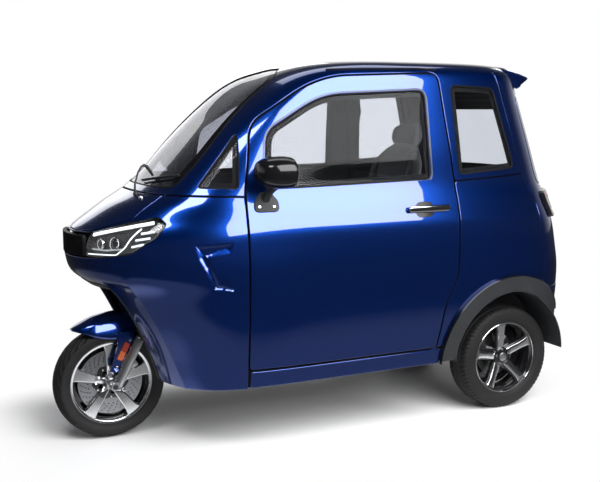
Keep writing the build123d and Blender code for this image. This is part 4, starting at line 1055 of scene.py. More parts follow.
# Sides behind the doors, the tail and its bumper
def overArch(radius, start, end, count):
    return np.array([(arch["x"] + arch[radius] * math.cos(a), arch["z"] + arch[radius] * math.sin(a))
                     for a in np.linspace(start, end, count)])


circleTop = overArch("edge", math.acos((428 - arch["x"]) / arch["edge"]), math.radians(58.6), 60)
quarterOuter = np.vstack([
    beltBehind(-gaps["seam"]),
    tailSide(606, 1140, -gaps["seam"]),
    sideLine(circleTop)[::-1],
    sideLine(behindDoor)[::-1],
])
quarterLeft = panel("quarterLeft", views["rearLeft"], quarterOuter, [], "body", "body_blue", shell, gap=15.0)
mirrorPiece(quarterLeft)
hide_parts("rear_quarters")

tailFront = tailSide(590, 1600, gaps["seam"])
tailOuter = np.vstack([
    levelRound(1598, 766),
    otherSide(tailFront),
    levelRound(586, 1012)[::-1],
    tailFront[::-1],
])
tailSkin = panel("tailSkin", views["tail"], tailOuter,
                 [tailgateCut, onEnd(tailLampFlat, "rear"), otherSide(onEnd(tailLampFlat, "rear"))],
                 "body", "body_blue", shell, gap=16.0)
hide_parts("tail_surround")

circleBack = overArch("edge", math.radians(52.2), math.radians(8.2), 40)
bumperSide = sideLine(circleBack)
bumperOuter = np.vstack([
    levelRound(581, circleBack[0][0]),
    otherSide(bumperSide),
    levelRound(330, circleBack[-1][0])[::-1],
    bumperSide[::-1],
])
bumperSkin = panel("bumperSkin", views["tail"], bumperOuter, [], "body", "body_blue", shell, gap=18.0, sink=-1.5)
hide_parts("rear_bumper")

gateSkin = panel("tailgateSkin", views["tail"], tailgateLoop, [rearGlassLoop], "tailgate", "body_blue", shell,
                 gap=16.0)
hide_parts("tailgate_panel")

sillOuter = sideLine(roundedLine([(-516, 281, 4), (-516, 350, 4), (424, 350, 4), (414, 281, 4)]))
sillLeft = panel("sillLeft", views["left"], sillOuter, [], "body", "body_blue", shell, gap=16.0, sink=1.0)
mirrorPiece(sillLeft)
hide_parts("sills")

# Doors
doorLeft = panel("doorSkinLeft", views["left"], doorSkin, [windowLoop], "door_left", "body_blue", shell, gap=16.0)
doorRight = mirrorPiece(doorLeft)
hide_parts("door_panel_left")
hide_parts("door_panel_right")
print("stage: painted panels")

# panes and what frames them

paneSettings = {"sink": 4.0, "depth": 4.5, "edge": 0.8, "gap": 24.0}


def pane(name, view, loop, body, node, glassKind=windowGlass):
    glass = panel(name, view, loop, [], body, "clear_glass", [glassKind], **paneSettings)
    if node:
        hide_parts(node)
    return glass


pane("screenGlass", views["nose"], screenLoop, "body", "windscreen", screenTint)
pane("rearGlass", views["tail"], rearGlassLoop, "tailgate", "tailgate_glass")
doorGlassLeft = pane("doorGlassLeft", views["left"], windowLoop, "door_left", "door_glass_left")
doorGlassRight = mirrorPiece(doorGlassLeft)
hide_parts("door_glass_right")
quarterGlassLeft = pane("quarterGlassLeft", views["left"], quarterLoop, "body", "quarter_lights")
mirrorPiece(quarterGlassLeft)
sideGlassLeft = pane("sideGlassLeft", views["rearLeft"], rearSideLoop, "body", "rear_side_windows")
mirrorPiece(sideGlassLeft)

# seal: a soft lip round each pane; band: the black print on the glass's edge, inside
sealProfile = [(-7, -3.6), (-6, -1.2), (-2, 0.6), (1.2, 0.9), (2.4, -0.4), (2.4, -9), (-7, -9)]
bandProfile = [(-26, -8.6), (2, -8.6), (2, -9.4), (-26, -9.4)]
wideBand = [(-44, -8.6), (2, -8.6), (2, -9.4), (-44, -9.4)]


def facingIn(line, profile):
    # the same profile turned so that its negative side lies inside the loop
    normals, across = loopFrames(evened(line, 20.0))
    centre = line.mean(axis=0)
    inward = ((centre - evened(line, 20.0)) * across).sum(axis=1).mean() > 0
    return [(-a, h) for a, h in profile] if inward else profile


for name, loop, body, band, profile in (
        ("screen", screenLoop, "body", wideBand, sealProfile),
        ("rearPane", rearGlassLoop, "tailgate", wideBand, sealProfile),
        ("doorPaneLeft", windowLoop, "door_left", bandProfile, sealProfile),
        ("quarterPaneLeft", quarterLoop, "body", bandProfile, sealProfile),
        ("sidePaneLeft", rearSideLoop, "body", bandProfile, sealProfile)):
    seal = trimAlong(name + "Seal", loop, facingIn(loop, profile), body, "black_trim", sealRubber)
    edge = trimAlong(name + "Band", loop, facingIn(loop, band), body, "gloss_black", printBlack, gap=14.0)
    if "Left" in name:
        mirrorPiece(seal)
        mirrorPiece(edge)

# the pale reveal along the door window's top and rear, inside the seal
revealProfile = [(3.2, -0.5), (4.2, 1.6), (9.5, 1.8), (10.5, -0.5)]
revealPath = roundedLine(doorWindow)
revealPath = np.roll(revealPath, -int(np.argmin(np.abs(revealPath[:, 0] + 441) + np.abs(revealPath[:, 1] - 1140))),
        axis=0)
revealPath = revealPath[(revealPath[:, 1] > 1128)]
reveal = trimAlong("revealLeft", onSide(revealPath), revealProfile, "door_left", "silver_metal", revealMetal,
                   closed=False)
mirrorPiece(reveal)

# rubber behind each gap, fixed to the body side
for name, loop in (("doorJambLeft", doorCut), ("gateJamb", tailgateCut)):
    jamb = trimAlong(name, loop, facingIn(loop, [(-14, -24), (3, -24), (3, -18), (-14, -18)]), "body", "black_trim",
                     sealRubber, gap=14.0)
    if "Left" in name:
        mirrorPiece(jamb)
seamBack = [(-12, -17), (12, -17), (12, -13.5), (-12, -13.5)]
seams = {
    "beltSeamAhead": (beltAhead(0), False, False),
    "beltSeamLeft": (beltBehind(0), False, True),
    "tailSeamLeft": (tailSide(590, 1600, 0), False, True),
    "tailSeamTop": (levelRound(1600, 764), False, False),
    "bumperSeam": (levelRound(583, 1010), False, False),
    "sillSeamLeft": (sideLine([(x, 353) for x in np.linspace(-520, 424, 80)]), False, True),
    "noseSeamLeft": (sideLine([(-521, z) for z in np.linspace(348, 280, 12)]), False, True),
}
for name, (line, closed, twin) in seams.items():
    strip = trimAlong(name, line, seamBack, "body", "black_trim", sealRubber, closed=closed, gap=14.0)
    if twin:
        mirrorPiece(strip)
trimAlong("hoodSeam", np.vstack([hoodEdge[::-1], otherSide(hoodEdge)])[3:-3], seamBack, "body", "black_trim",
          sealRubber, closed=False)
print("stage: panes and seals")


# repeats made with Geometry Nodes

def repeatTree(name, material):
    # puts an item on every point of a line and turns it along the line
    tree = bpy.data.node_groups.new(name, "GeometryNodeTree")
    sockets = {"Line": "Geometry", "Item": "Object", "Count": "Int", "Size": "Float", "Size spread": "Float",
               "Seed": "Int"}
    keys = {label: tree.interface.new_socket(label, in_out="INPUT", socket_type="NodeSocket" + kind).identifier
            for label, kind in sockets.items()}
    tree.interface.new_socket("Made", in_out="OUTPUT", socket_type="NodeSocketGeometry")
    given = newNode(tree, "NodeGroupInput").outputs
    spots = newNode(tree, "GeometryNodeCurveToPoints", mode="COUNT", Curve=given["Line"],
                    Count=given["Count"]).outputs
    item = newNode(tree, "GeometryNodeObjectInfo", Object=given["Item"]).outputs["Geometry"]
    least, most = (maths(tree, way, given["Size"], given["Size spread"]) for way in ("SUBTRACT", "ADD"))
    vary = newNode(tree, "FunctionNodeRandomValue", (None, None, least, most), data_type="FLOAT", Seed=given["Seed"])
    place = newNode(tree, "GeometryNodeInstanceOnPoints", Points=spots["Points"], Rotation=spots["Rotation"],
                    Instance=item, Scale=vary.outputs[1])
    realize = newNode(tree, "GeometryNodeRealizeInstances", (place.outputs[0],))
    finish = newNode(tree, "GeometryNodeSetMaterial", Geometry=realize.outputs[0], Material=material)
    newNode(tree, "NodeGroupOutput", Made=finish.outputs["Geometry"])
    return tree, keys


def repeatAlong(name, points, item, count, material, body, slot, closed=False):
    # item is points and faces in millimetres: z runs along the line, x and y lie across it
    itemObject = bpy.data.objects.new(name + "Item", bareMesh(name + "Item", *item))
    curve = bpy.data.curves.new(name + "Line", "CURVE")
    curve.dimensions = "3D"
    spline = curve.splines.new("POLY")
    spline.points.add(len(points) - 1)
    for spot, place in zip(spline.points, points):
        spot.co = (*(np.array(place) * mm), 1)
    spline.use_cyclic_u = closed
    line = bpy.data.objects.new(name + "Line", curve)
    scene.collection.objects.link(line)
    tree, keys = repeatTree(name + "Repeat", material)
    modifier = line.modifiers.new("repeat", "NODES")
    modifier.node_group = tree
    for label, value in (("Item", itemObject), ("Count", count), ("Size", 1.0), ("Size spread", 0.0), ("Seed", 7)):
        modifier[keys[label]] = value
    mesh = madeMesh(line)
    line.modifiers.remove(modifier)
    bpy.data.objects.remove(line)
    bpy.data.objects.remove(itemObject)
    mesh.name = name
    mesh.shade_smooth()
    piece = placed(name, mesh, body, slot)
    setBySharpness(piece, 32)
    recalculate(mesh)
    return piece


def turnedForm(profile, sides):
    # a turned item about its own x axis: profile is height and radius
    points = [(height, radius * math.cos(a), radius * math.sin(a)) for height,
              radius in profile for a in circleTurns(sides)]
    return points, tubeFaces(len(profile), sides)


def around(centre, radius, offset, count, start=0.0):
    # places on a circle in a wheel's plane
    cx, cy, cz = centre
    return np.array([(cx + radius * math.cos(a), cy - offset, cz + radius * math.sin(a)) for a in circleTurns(count,
            start)])


def joinForms(forms):
    # several lots of points and faces as one
    points, faces = [], []
    for formPoints, formFaces in forms:
        base = len(points)
        points += [tuple(p) for p in formPoints]
        faces += [tuple(base + v for v in face) for face in formFaces]
    return np.array(points, float), faces


def smoothPiece(name, form, material, body, slot, sharp=32):
    piece = addMesh(name, form[0], form[1], [material], body, slot)
    setBySharpness(piece, sharp)
    recalculate(piece.data)
    return piece


def turned(centre, profile, segments=96, ripple=None):
    # a closed profile of radius and offset turned about a wheel's axle; offset points outwards
    cx, cy, cz = centre
    profile = np.array(profile, float)
    angles = np.linspace(0, 2 * math.pi, segments, endpoint=False)[:, None]
    radius = np.repeat(profile[None, :, 0], segments, axis=0)
    offset = np.repeat(profile[None, :, 1], segments, axis=0)
    if ripple is not None:
        radius = radius - ripple(angles, offset, radius)
    points = np.stack([cx + radius * np.cos(angles), cy - offset, cz + radius * np.sin(angles)], axis=2).reshape(-1,
            3)
    return points, tubeFaces(segments, len(profile), True)


def curveSamples(rows, count):
    # even samples of a smooth line through rows of numbers
    rows = np.array(rows, float)
    knots = np.concatenate([[0], np.cumsum(np.linalg.norm(np.diff(rows[:, :2], axis=0), axis=1))])
    at = np.linspace(0, knots[-1], count)
    result = np.zeros((count, rows.shape[1]))
    slopes = np.gradient(rows, knots, axis=0)
    i = np.clip(np.searchsorted(knots, at) - 1, 0, len(knots) - 2)
    h = (knots[i + 1] - knots[i])[:, None]
    t = ((at - knots[i])[:, None]) / h
    result = ((2 * t ** 3 - 3 * t ** 2 + 1) * rows[i] + (t ** 3 - 2 * t ** 2 + t) * h * slopes[i]
              + (-2 * t ** 3 + 3 * t ** 2) * rows[i + 1] + (t ** 3 - t ** 2) * h * slopes[i + 1])
    return result


def spokeForm(centre, turn, rows):
    # one spoke; rows: radius, half width, face offset, back offset, edge rounding
    cx, cy, cz = centre
    points = []
    for radius, half, top, back, ease in rows:
        section = [(-half, back), (-half, top - ease), (-half + ease * 0.35, top - ease * 0.35), (-half + ease, top)]
        for across, offset in section + [(-across, offset) for across, offset in reversed(section)]:
            x = radius * math.cos(turn) - across * math.sin(turn)
            z = radius * math.sin(turn) + across * math.cos(turn)
            points.append((cx + x, cy - offset, cz + z))
    return points, tubeFaces(len(rows), 8)


def spokesOf(centre, turn, rows):
    return joinForms([spokeForm(centre, a, rows) for a in circleTurns(5, turn)])


def plate(centre, outer, holes, offset, thickness):
    # a flat plate with holes in a wheel's plane: outlines are across and up
    made, triangles, _ = filled([np.array(loop, float) for loop in (outer, *holes)])
    cx, cy, cz = centre
    points = [(cx + x, cy - offset + deep, cz + z) for deep in (0, thickness) for x, z in made]
    size = len(made)
    faces = [tuple(t) for t in triangles] + [tuple(v + size for v in t[::-1]) for t in triangles]
    used = dict.fromkeys(edge for a, b, c in triangles for edge in ((a, b), (b, c), (c, a)))
    return points, faces + [(b, a, a + size, b + size) for a, b in used if (b, a) not in used]


def circleLine(radius, count, x=0.0, z=0.0):
    return [(x + radius * math.cos(a), z + radius * math.sin(a)) for a in circleTurns(count)]


def drilled(radius, number, *rings):
    # rings of round holes; each ring: its radius and the turn of its first hole
    return [circleLine(radius, 8, ring * math.cos(a), ring * math.sin(a)) for ring,
            lean in rings for a in circleTurns(number, lean)]


# front wheel

frontWheel = {"centre": (-988.0, 0.0, 245.0), "turn": 0.30}
fc = frontWheel["centre"]
tyreProfile = curveSamples([(183.3, 46), (190, 54), (207, 63.5), (222, 63.5), (233, 55), (241, 34), (245, 0),
        (241, -34), (233, -55), (222, -63.5), (207, -63.5), (190, -54), (183.3, -46)], 64)


def scooterTread(angle, offset, radius):
    # slanted grooves that sweep back from the middle
    sweepBack = np.abs(offset) * 0.0105
    cycle = 2 * math.pi / 30
    side = np.where(offset >= 0, 0.0, 0.5 * cycle)
    phase = np.mod(angle + side - sweepBack, cycle) / cycle
    near = np.abs(phase - 0.5) * cycle * 245
    depth = 7.0 * np.clip(1 - (near - 9.0) / 3.5, 0, 1)
    depth = depth * np.clip((np.abs(offset) - 6) / 3, 0, 1) * np.clip((61 - np.abs(offset)) / 5, 0, 1)
    short = np.abs(np.mod(angle + side - sweepBack * 0.7 + cycle * 0.5, cycle) / cycle - 0.5) * cycle * 245
    lug = 5.0 * np.clip(1 - (short - 5.0) / 2.6, 0, 1) * np.clip((np.abs(offset) - 34) / 3, 0,
            1) * np.clip((62 - np.abs(offset)) / 4, 0, 1)
    return np.where(radius > 214, np.maximum(depth, lug), 0)


frontTyre = smoothPiece("frontTyre", turned(fc, tyreProfile, 450, ripple=scooterTread), tyreRubber, "front_wheel",
        "tyre", 60)
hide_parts("front_tyre")
barrel = [(183, 46), (183, 40), (176, 34), (174, 20), (172, -20), (174, -34), (183, -40), (183, -46), (178, -46),
          (168, -36), (165, -20), (166, 20), (166, 33), (168, 40), (171, 44.5), (177, 47), (181, 47.5)]
spokeRows = [(24, 15, 24, 2, 4), (45, 17, 33, 6, 5), (80, 20, 37, 10, 6), (120, 24, 40, 14, 6), (150, 28, 42, 16, 6),
             (163, 33, 43, 18, 6), (172, 40, 43.5, 22, 5)]
frontRim = smoothPiece("frontRimLip", turned(fc, barrel, 128), polished, "front_wheel", "bright_alloy", 28)
frontSpokes = smoothPiece("frontSpokes", spokesOf(fc, frontWheel["turn"], spokeRows), polished, "front_wheel",
        "bright_alloy", 28)
smoothPiece("frontRimWell", turned(fc, [(165.5, 19), (165.5, -19), (160, -19), (160, 19)], 96), rimBlack,
            "front_wheel", "dark_steel")
discHoles = drilled(2.9, 30, (132, 0.0), (121, 0.07), (110, 0.14), (99, 0.21))
smoothPiece("frontFaceDisc", plate(fc, circleLine(143, 120), [circleLine(72, 60)] + discHoles, 21, 4), greyFace,
            "front_wheel", "bright_alloy", 20)
carrierOuter = [((76 + 6 * math.cos(6 * a)) * math.cos(a),
                 (76 + 6 * math.cos(6 * a)) * math.sin(a)) for a in circleTurns(60)]
carrierHoles = [circleLine(9, 12, 48 * math.cos(a), 48 * math.sin(a)) for a in circleTurns(9)]
smoothPiece("frontCarrier", plate(fc, carrierOuter, carrierHoles, 24.5, 7), rimBlack, "front_wheel", "dark_steel", 20)
smoothPiece("frontBackPlate", turned(fc, [(160, -16), (160, -20), (10, -20), (10, -16)], 80), rimBlack, "front_wheel",
            "dark_steel")
smoothPiece("frontHub", turned(fc, [(8, 51.5), (20, 51.5), (24, 49), (27, 40), (33, 30), (36, 22), (36, -40),
        (30, -51.5), (8, -51.5)], 64), satin, "front_wheel", "silver_metal")
repeatAlong("frontCarrierBolts", around(fc, 66, 26, 12),
            turnedForm([(-4, 4.2), (2.4, 4.2), (3.0, 3.4), (3.0, 0.1)], 8),
            12, chromed, "front_wheel", "chrome", closed=True)
for piece in (frontRim, frontSpokes):
    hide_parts("front_rim")
print("stage: front wheel")

# rear wheels

rearWheel = {"centre": (828.0, -400.0, 248.0), "turn": math.pi / 2 + 0.12}
rc = rearWheel["centre"]
carProfile = curveSamples([(172.3, 58), (180, 66), (205, 72), (226, 69), (239, 62), (246, 40), (248, 0), (246, -40),
        (239, -62), (226, -69), (205, -72), (180, -66), (172.3, -58)], 84)


def carTread(angle, offset, radius):
    # three grooves round the tyre and sipes across its ribs
    groove = np.zeros_like(offset + angle * 0)
    for place, width in ((-30, 4.4), (0, 4.4), (30, 4.4)):
        groove = np.maximum(groove, 7.5 * np.clip(1 - (np.abs(offset - place) - width) / 1.4, 0, 1))
    cycle = 2 * math.pi / 72
    phase = np.abs(np.mod(angle + offset * 0.0012 * np.sign(offset), cycle) / cycle - 0.5) * cycle * 246
    sipe = 4.2 * np.clip(1 - (phase - 2.2) / 1.3, 0, 1) * (np.abs(offset) > 35)
    return np.where(radius > 233, np.maximum(groove, sipe), 0)


rearTyre = smoothPiece("rearTyreLeft", turned(rc, carProfile, 468, ripple=carTread), tyreRubber, "rear_wheel_left",
        "tyre", 60)
rearBarrel = [(172, 58), (172, 50), (163, 44), (160, 20), (158, -40), (164, -50), (172, -58), (166, -58), (156, -48),
              (152, -38),
              (152, 30), (156, 44), (159, 52), (164, 57.5), (169, 58.5)]
rearRim = smoothPiece("rearRimLeft", turned(rc, rearBarrel, 128), rimBlack, "rear_wheel_left", "dark_steel", 28)
rearLip = smoothPiece("rearLipLeft", turned(rc,
        [(172.0, 58.6), (170.5, 59.8), (168, 59.6), (166.8, 57.6), (168.5, 57.0), (171, 57.4)], 128),
        polished, "rear_wheel_left", "bright_alloy", 28)
rearSpokeRows = [(34, 20, 30, 4, 4), (60, 19, 34, 8, 5), (100, 17, 42, 14, 5), (128, 18, 48, 20, 5),
                 (146, 21, 51, 26, 5), (158, 25, 52, 30, 4)]
rearInsetRows = [(30, 27, 24, 2, 3), (60, 26, 27, 4, 3), (110, 24, 36, 10, 3), (140, 26, 43, 20, 3),
                 (157, 32, 45, 24, 3)]
rearSpokes = smoothPiece("rearSpokesLeft", spokesOf(rc, rearWheel["turn"], rearSpokeRows),
        polished, "rear_wheel_left", "bright_alloy", 28)
rearShadow = smoothPiece("rearSpokeSidesLeft", spokesOf(rc, rearWheel["turn"], rearInsetRows),
        rimBlack, "rear_wheel_left", "dark_steel", 28)
rearHub = smoothPiece("rearHubLeft", turned(rc, [(12.2, 40), (30, 40), (44, 33), (46, 20), (46, -28), (12.2, -28)],
        72), rimBlack, "rear_wheel_left", "dark_steel")
# painted shade: a black disc across the inside of the rim behind the spokes, standing for the wheel's shaded hollow
# so the far side does not show through
rearShadeDisc = smoothPiece("rearRimWellLeft", turned(rc, [(46, -34), (151, -40), (151, -43), (46, -37)], 96), rimBlack,
        "rear_wheel_left", "dark_steel", 28)
rearCap = smoothPiece("rearCapLeft", turned(rc, [(0.3, 46), (14, 45.5), (20, 43), (22, 39), (22, 34), (0.3, 34)], 48),
        satin, "rear_wheel_left", "silver_metal")
rearDiscHoles = drilled(3, 24, (94, 0), (82, 0.08), (70, 0.16))
rearDisc = smoothPiece("rearDiscLeft", plate(rc, circleLine(105, 96), [circleLine(46.5, 48)] + rearDiscHoles, -26, 4),
        discSteel, "rear_wheel_left", "brushed_disc", 20)
lugNuts = repeatAlong("rearLugNutsLeft", around(rc, 33, 36, 5, 0.4),
        turnedForm([(-3, 7.5), (8, 7.5), (10, 6), (10, 0.1)], 6), 5, chromed,
        "rear_wheel_left", "chrome", closed=True)
leftParts = [rearTyre, rearRim, rearLip, rearSpokes, rearShadow, rearHub, rearShadeDisc, rearCap, rearDisc, lugNuts]
rightParts = [mirrorPiece(part) for part in leftParts]
for side, parts in (("left", leftParts), ("right", rightParts)):
    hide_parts(f"rear_tyre_{side}")
    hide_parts(f"rear_rim_{side}")
print("stage: rear wheels")

# fork, mudguard and its stays

guardRows = [(-1150, 488, 495, 16), (-1128, 484, 508, 44), (-1100, 478, 522, 62), (-1060, 464, 540, 75),
             (-1020, 453, 550, 77),
             (-965, 447, 558, 77), (-925, 462, 558, 71), (-885, 474, 555, 70), (-822, 478, 530, 70)]
guardSections = curveSamples(guardRows, 56)
guardPoints = []
acrossSteps = np.linspace(-1, 1, 33)
for x, edge, crest, half in guardSections:
    for t in acrossSteps:
        level = abs(t)
        ridge = 0.62 + 0.05 * math.sin((x + 1150) / 110)
        if level < 0.55:
            share = level / 0.55
            y, up = 0.80 * half * share, 1 - (1 - ridge) * share ** 2.1
        else:
            share = (level - 0.55) / 0.45
            y, up = half * (0.80 + 0.20 * math.sin(share * math.pi / 2)), ridge * (1 - share)
        guardPoints.append((x, y * (1 if t > 0 else -1), edge + (crest - edge) * up))
width = len(acrossSteps)
guardFaces = [(i * width + k, (i + 1) * width + k, (i + 1) * width + k + 1, i * width + k + 1)
              for i in range(len(guardSections) - 1) for k in range(width - 1)]
mudguard = addMesh("frontMudguard", guardPoints, guardFaces, [paint], "steering", "body_blue")
thicken = mudguard.modifiers.new("wall", "SOLIDIFY")
thicken.thickness = 0.0035
thicken.offset = -1
recalculate(mudguard.data)
if sum(face.normal.z for face in mudguard.data.polygons) < 0:
    mudguard.data.flip_normals()
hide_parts("front_mudguard")

rake = math.radians(27.5)
upAxis = np.array([math.sin(rake), 0, math.cos(rake)])
backAxis = np.array([math.cos(rake), 0, -math.sin(rake)])
steerOrigin = np.array([-988.0, 0, 245.0]) + backAxis * 32


def along(rise, back, y=0.0):
    return steerOrigin + upAxis * rise + backAxis * back + np.array([0, y, 0])


def rodForm(points, radii, sides=24, axis=None):
    # a round bar through points with its own radius at each
    points = np.array(points, float)
    ways = np.gradient(points, axis=0) if axis is None else np.array([axis] * len(points))
    made = []
    reference = (0.0, 1.0, 0.0) if abs(ways[0][1]) < 0.9 * np.linalg.norm(ways[0]) else (1.0, 0.0, 0.0)
    for place, way, radius in zip(points, ways, radii):
        way = way / np.linalg.norm(way)
        first = np.cross(way, reference)
        first /= np.linalg.norm(first)
        second = np.cross(way, first)
        made += [place + radius * (first * math.cos(a) + second * math.sin(a)) for a in circleTurns(sides)]
    return made, tubeFaces(len(points), sides)


legForms = []
legLine = [(-14, 14), (-10, 19), (0, 21), (60, 21), (120, 20), (200, 20), (224, 20.6), (232, 21), (236, 19.5)]
for legY in (-92, 92):
    legForms.append(rodForm([along(rise, -18, legY) for rise, _ in legLine], [radius for _, radius in legLine]))
    outer = legY * 114 / 92
    inner = legY * 72 / 92
    legForms.append(rodForm([(-988, inner, 245), (-988, inner + (outer - inner) * 0.1, 245),
            (-988, outer - (outer - inner) * 0.08, 245), (-988, outer, 245)], [18, 20, 20, 17]))
legForms.append(rodForm([(-988, -92, 245), (-988, 92, 245)], [7.5, 7.5]))
forkPiece = smoothPiece("forkSliders", joinForms(legForms), satin, "steering", "silver_metal", 30)
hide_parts("fork_legs")
pinch = []
for rise, back in ((2, 8), (-2, -12)):
    spot = along(rise, back, -113)
    pinch.append(rodForm([spot + (0, 4, 0), spot, spot - (0, 1.6, 0), spot - (0, 2.2, 0)], [8.4, 8.4, 7.4, 0.4], 16))
    pinch.append(rodForm([spot - (0, 1, 0), spot - (0, 3.4, 0)], [4.2, 4.2], 6))
smoothPiece("forkPinchBolts", joinForms(pinch), chromed, "steering", "chrome", 30)
axleEnd = rodForm([(-988, -111, 245), (-988, -117, 245), (-988, -118.5, 245)], [12.5, 12.5, 10.5], 6)
smoothPiece("axleNut", joinForms([axleEnd]), darkSteel, "steering", "dark_steel", 30)

# the stay between mudguard and fork carries the reflector and two bolts
legFront = -18 - 21 - 0.3
low, high = along(58, legFront), along(232, legFront)
stayFlat = roundedLine([(low[0] - 34, low[2] + 4, 10), (low[0] - 4, low[2] - 4, 8), (high[0] - 3, high[2] - 10, 8),
        (high[0] - 6, 478, 6), (-972, 474, 10), (-964, 418, 40)], gap=4.0)
stayForms = [plate((0, side, 0), stayFlat, [], 2.0, 4.0) for side in (-78, 78)]
smoothPiece("mudguardStays", joinForms(stayForms), paint, "steering", "body_blue", 30)
for name, rise, length, material in (("reflectorUpper", 172, 40, orangeDeep),
        ("reflectorLower", 130, 40, orangeLens)):
    forms = []
    for sign in (-1, 1):
        corner = []
        for level, grow in ((80.2, 0), (84.4, 0), (85.6, -1.6)):
            for dx, dz in ((-1, -1), (1, -1), (1, 1), (-1, 1)):
                spot = along(rise + dz * (length / 2 + grow), legFront - 18 + dx * (13 + grow))
                corner.append((spot[0], sign * level, spot[2]))
        faces = [(0, 1, 2, 3), (8, 9, 10, 11)]
        for base in (0, 4):
            faces += [(base + k, base + (k + 1) % 4, base + 4 + (k + 1) % 4, base + 4 + k) for k in range(4)]
        forms.append((corner, faces))
    reflector = smoothPiece(name, joinForms(forms), material, "steering", "orange_lens", 30)
    if name == "reflectorUpper":
        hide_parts("fork_reflectors")
boltSpots = [along(208, legFront - 12), along(76, legFront - 14)]
stayBolts = joinForms([rodForm([(p[0], s * 79, p[2]), (p[0], s * 84, p[2]), (p[0], s * 85, p[2])], [6.2, 6.2, 4.6],
        14) for p in boltSpots for s in (-1, 1)])
smoothPiece("stayBolts", stayBolts, chromed, "steering", "chrome", 30)
print("stage: fork and mudguard")

# lamps and grille

lampSettings = {"cover": 1.2, "housing": 24.0, "ribs": 38}
housing = panel("faceHousing", views["nose"], faceLoop, [], "body", "gloss_black", [glossBlack], edge=1.0, depth=5.0,
                sink=lampSettings["housing"], gap=14.0)
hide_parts("front_grille")
trimAlong("faceRim", faceLoop, facingIn(faceLoop, [(-3.0, 0.8), (-0.4, 1.0), (0.6, 0.0), (0.6, -28), (-3.0, -28)]),
          "body", "gloss_black", glossBlack)
lampOutline = roundedLine([(178, 934, 6), (344, 996, 20), (381, 970, 20), (387, 924, 24), (342, 860, 40),
        (240, 837, 120), (178, 836, 6)])
lampLoop = otherSide(onEnd(lampOutline))
cover = panel("lampCoverLeft", views["nose"], lampLoop, [], "body", "lamp_clear", [lampGlass], edge=1.0, depth=2.6,
              sink=lampSettings["cover"], gap=16.0)
mirrorPiece(cover)
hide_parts("headlamps")


def faceLine(rows, side=-1):
    return onEnd(roundedLine(rows, closed=False, gap=4.0)) * (1, side, 1)


lampLines = {
    "dayBar": ([(186, 926, 0), (280, 958, 60), (352, 982, 0)], [(-7, -10), (7, -10), (6, -4.5), (-6, -4.5)],
               lampWhite),
    "dayThin": ([(186, 846, 0), (298, 849, 14), (322, 880, 60), (336, 958, 0)],
                [(-2.2, -9), (2.2, -9), (2.2, -4.5), (-2.2, -4.5)], lampWhite),
    "blockOne": ([(338, 884, 0), (366, 896, 0)], [(-5, -14), (5, -14), (4, -7), (-4, -7)], lampBlock),
    "blockTwo": ([(342, 912, 0), (374, 922, 0)], [(-5, -14), (5, -14), (4, -7), (-4, -7)], lampBlock),
    "blockThree": ([(345, 940, 0), (372, 948, 0)], [(-5, -14), (5, -14), (4, -7), (-4, -7)], lampBlock),
}
for name, (rows, profile, material) in lampLines.items():
    strip = trimAlong(name + "Left", faceLine(rows), profile, "body", "lamp_clear", material, closed=False, gap=5.0)
    mirrorPiece(strip)


def lensForm(place, way, radius, parts):
    # a turned lamp part that looks along way; parts: height and radius
    way = np.array(way, float) / np.linalg.norm(way)
    return rodForm([np.array(place) + way * height for height, _ in parts], [r for _, r in parts], 32, way)


bezelForms, lensForms = [], []
for y, z, radius in ((276, 893, 25), (226, 889, 19)):
    spot = onEnd([(y, z)])[0] * (1, -1, 1)
    look = outFrom(spot) * 0.4 + np.array([-1, 0, 0]) * 0.6
    look /= np.linalg.norm(look)
    base = spot - look * 21
    bezelForms.append(lensForm(base, look, radius,
            [(-2, radius + 3), (6, radius + 3), (7.5, radius + 1.5), (6, radius - 1), (5, radius - 1.2)]))
    lensForms.append(lensForm(base, look, radius,
            [(3, radius - 1.2), (6, radius * 0.93), (9, radius * 0.78), (11.5, radius * 0.5),
            (12.6, radius * 0.2), (12.8, 0.2)]))
bezels = smoothPiece("lampBezelsLeft", joinForms(bezelForms), chromed, "body", "chrome", 40)
lenses = smoothPiece("lampLensesLeft", joinForms(lensForms), glossBlack, "body", "gloss_black", 40)
mirrorPiece(bezels)
mirrorPiece(lenses)
bowl = trimAlong("lampBowlLeft", faceLine([(200, 868, 0), (262, 866, 20), (312, 874, 0)]),
                 [(-3, -22), (3, -22), (3, -9), (-3, -12)], "body", "chrome",
                 satin, closed=False, gap=5.0)
mirrorPiece(bowl)

# upright ribs between the lamps
ribLine = onEnd([(y, 877) for y in np.linspace(-160, 160, 80)]) + (7.0, 0, 0)
ribForm = ([(a, b, c) for b in (-43, 43) for a, c in ((-11, -1.7), (6, -1.7), (8, 0), (6, 1.7), (-11, 1.7))],
           [(0, 1, 6, 5), (1, 2, 7, 6), (2, 3, 8, 7), (3, 4, 9, 8), (4, 0, 5, 9), (4, 3, 2, 1, 0), (5, 6, 7, 8, 9)])
ribs = repeatAlong("grilleRibs", ribLine, ribForm, lampSettings["ribs"], glossBlack, "body", "gloss_black")
print("stage: lamps", [tuple(round(v, 3) for v in corner) for corner in ribs.bound_box][:2])


# tail lamps, roof lip and black trim

tailLampRight = panel("tailLampRight", views["tail"], onEnd(tailLampFlat, "rear"), [], "body", "lamp_red", [tailRed],
        edge=5.0, depth=34.0, sink=-17.0, gap=12.0)
mirrorPiece(tailLampRight)
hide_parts("tail_lamps")
for lampName, rows, tone in (("reverseLens", [(300, 925, 6), (300, 951, 6), (396, 951, 6), (396, 925, 6)], lampBlock),
        ("turnLens", [(300, 1002, 6), (300, 1028, 6), (396, 1028, 6), (396, 1002, 6)], orangeDeep)):
    lens = panel(lampName + "Right", views["tail"], onEnd(roundedLine(rows, gap=5.0), "rear"), [], "body", "lamp_red",
                 [tone],
                 edge=1.5, depth=4.0, sink=-18.2, gap=10.0)
    mirrorPiece(lens)

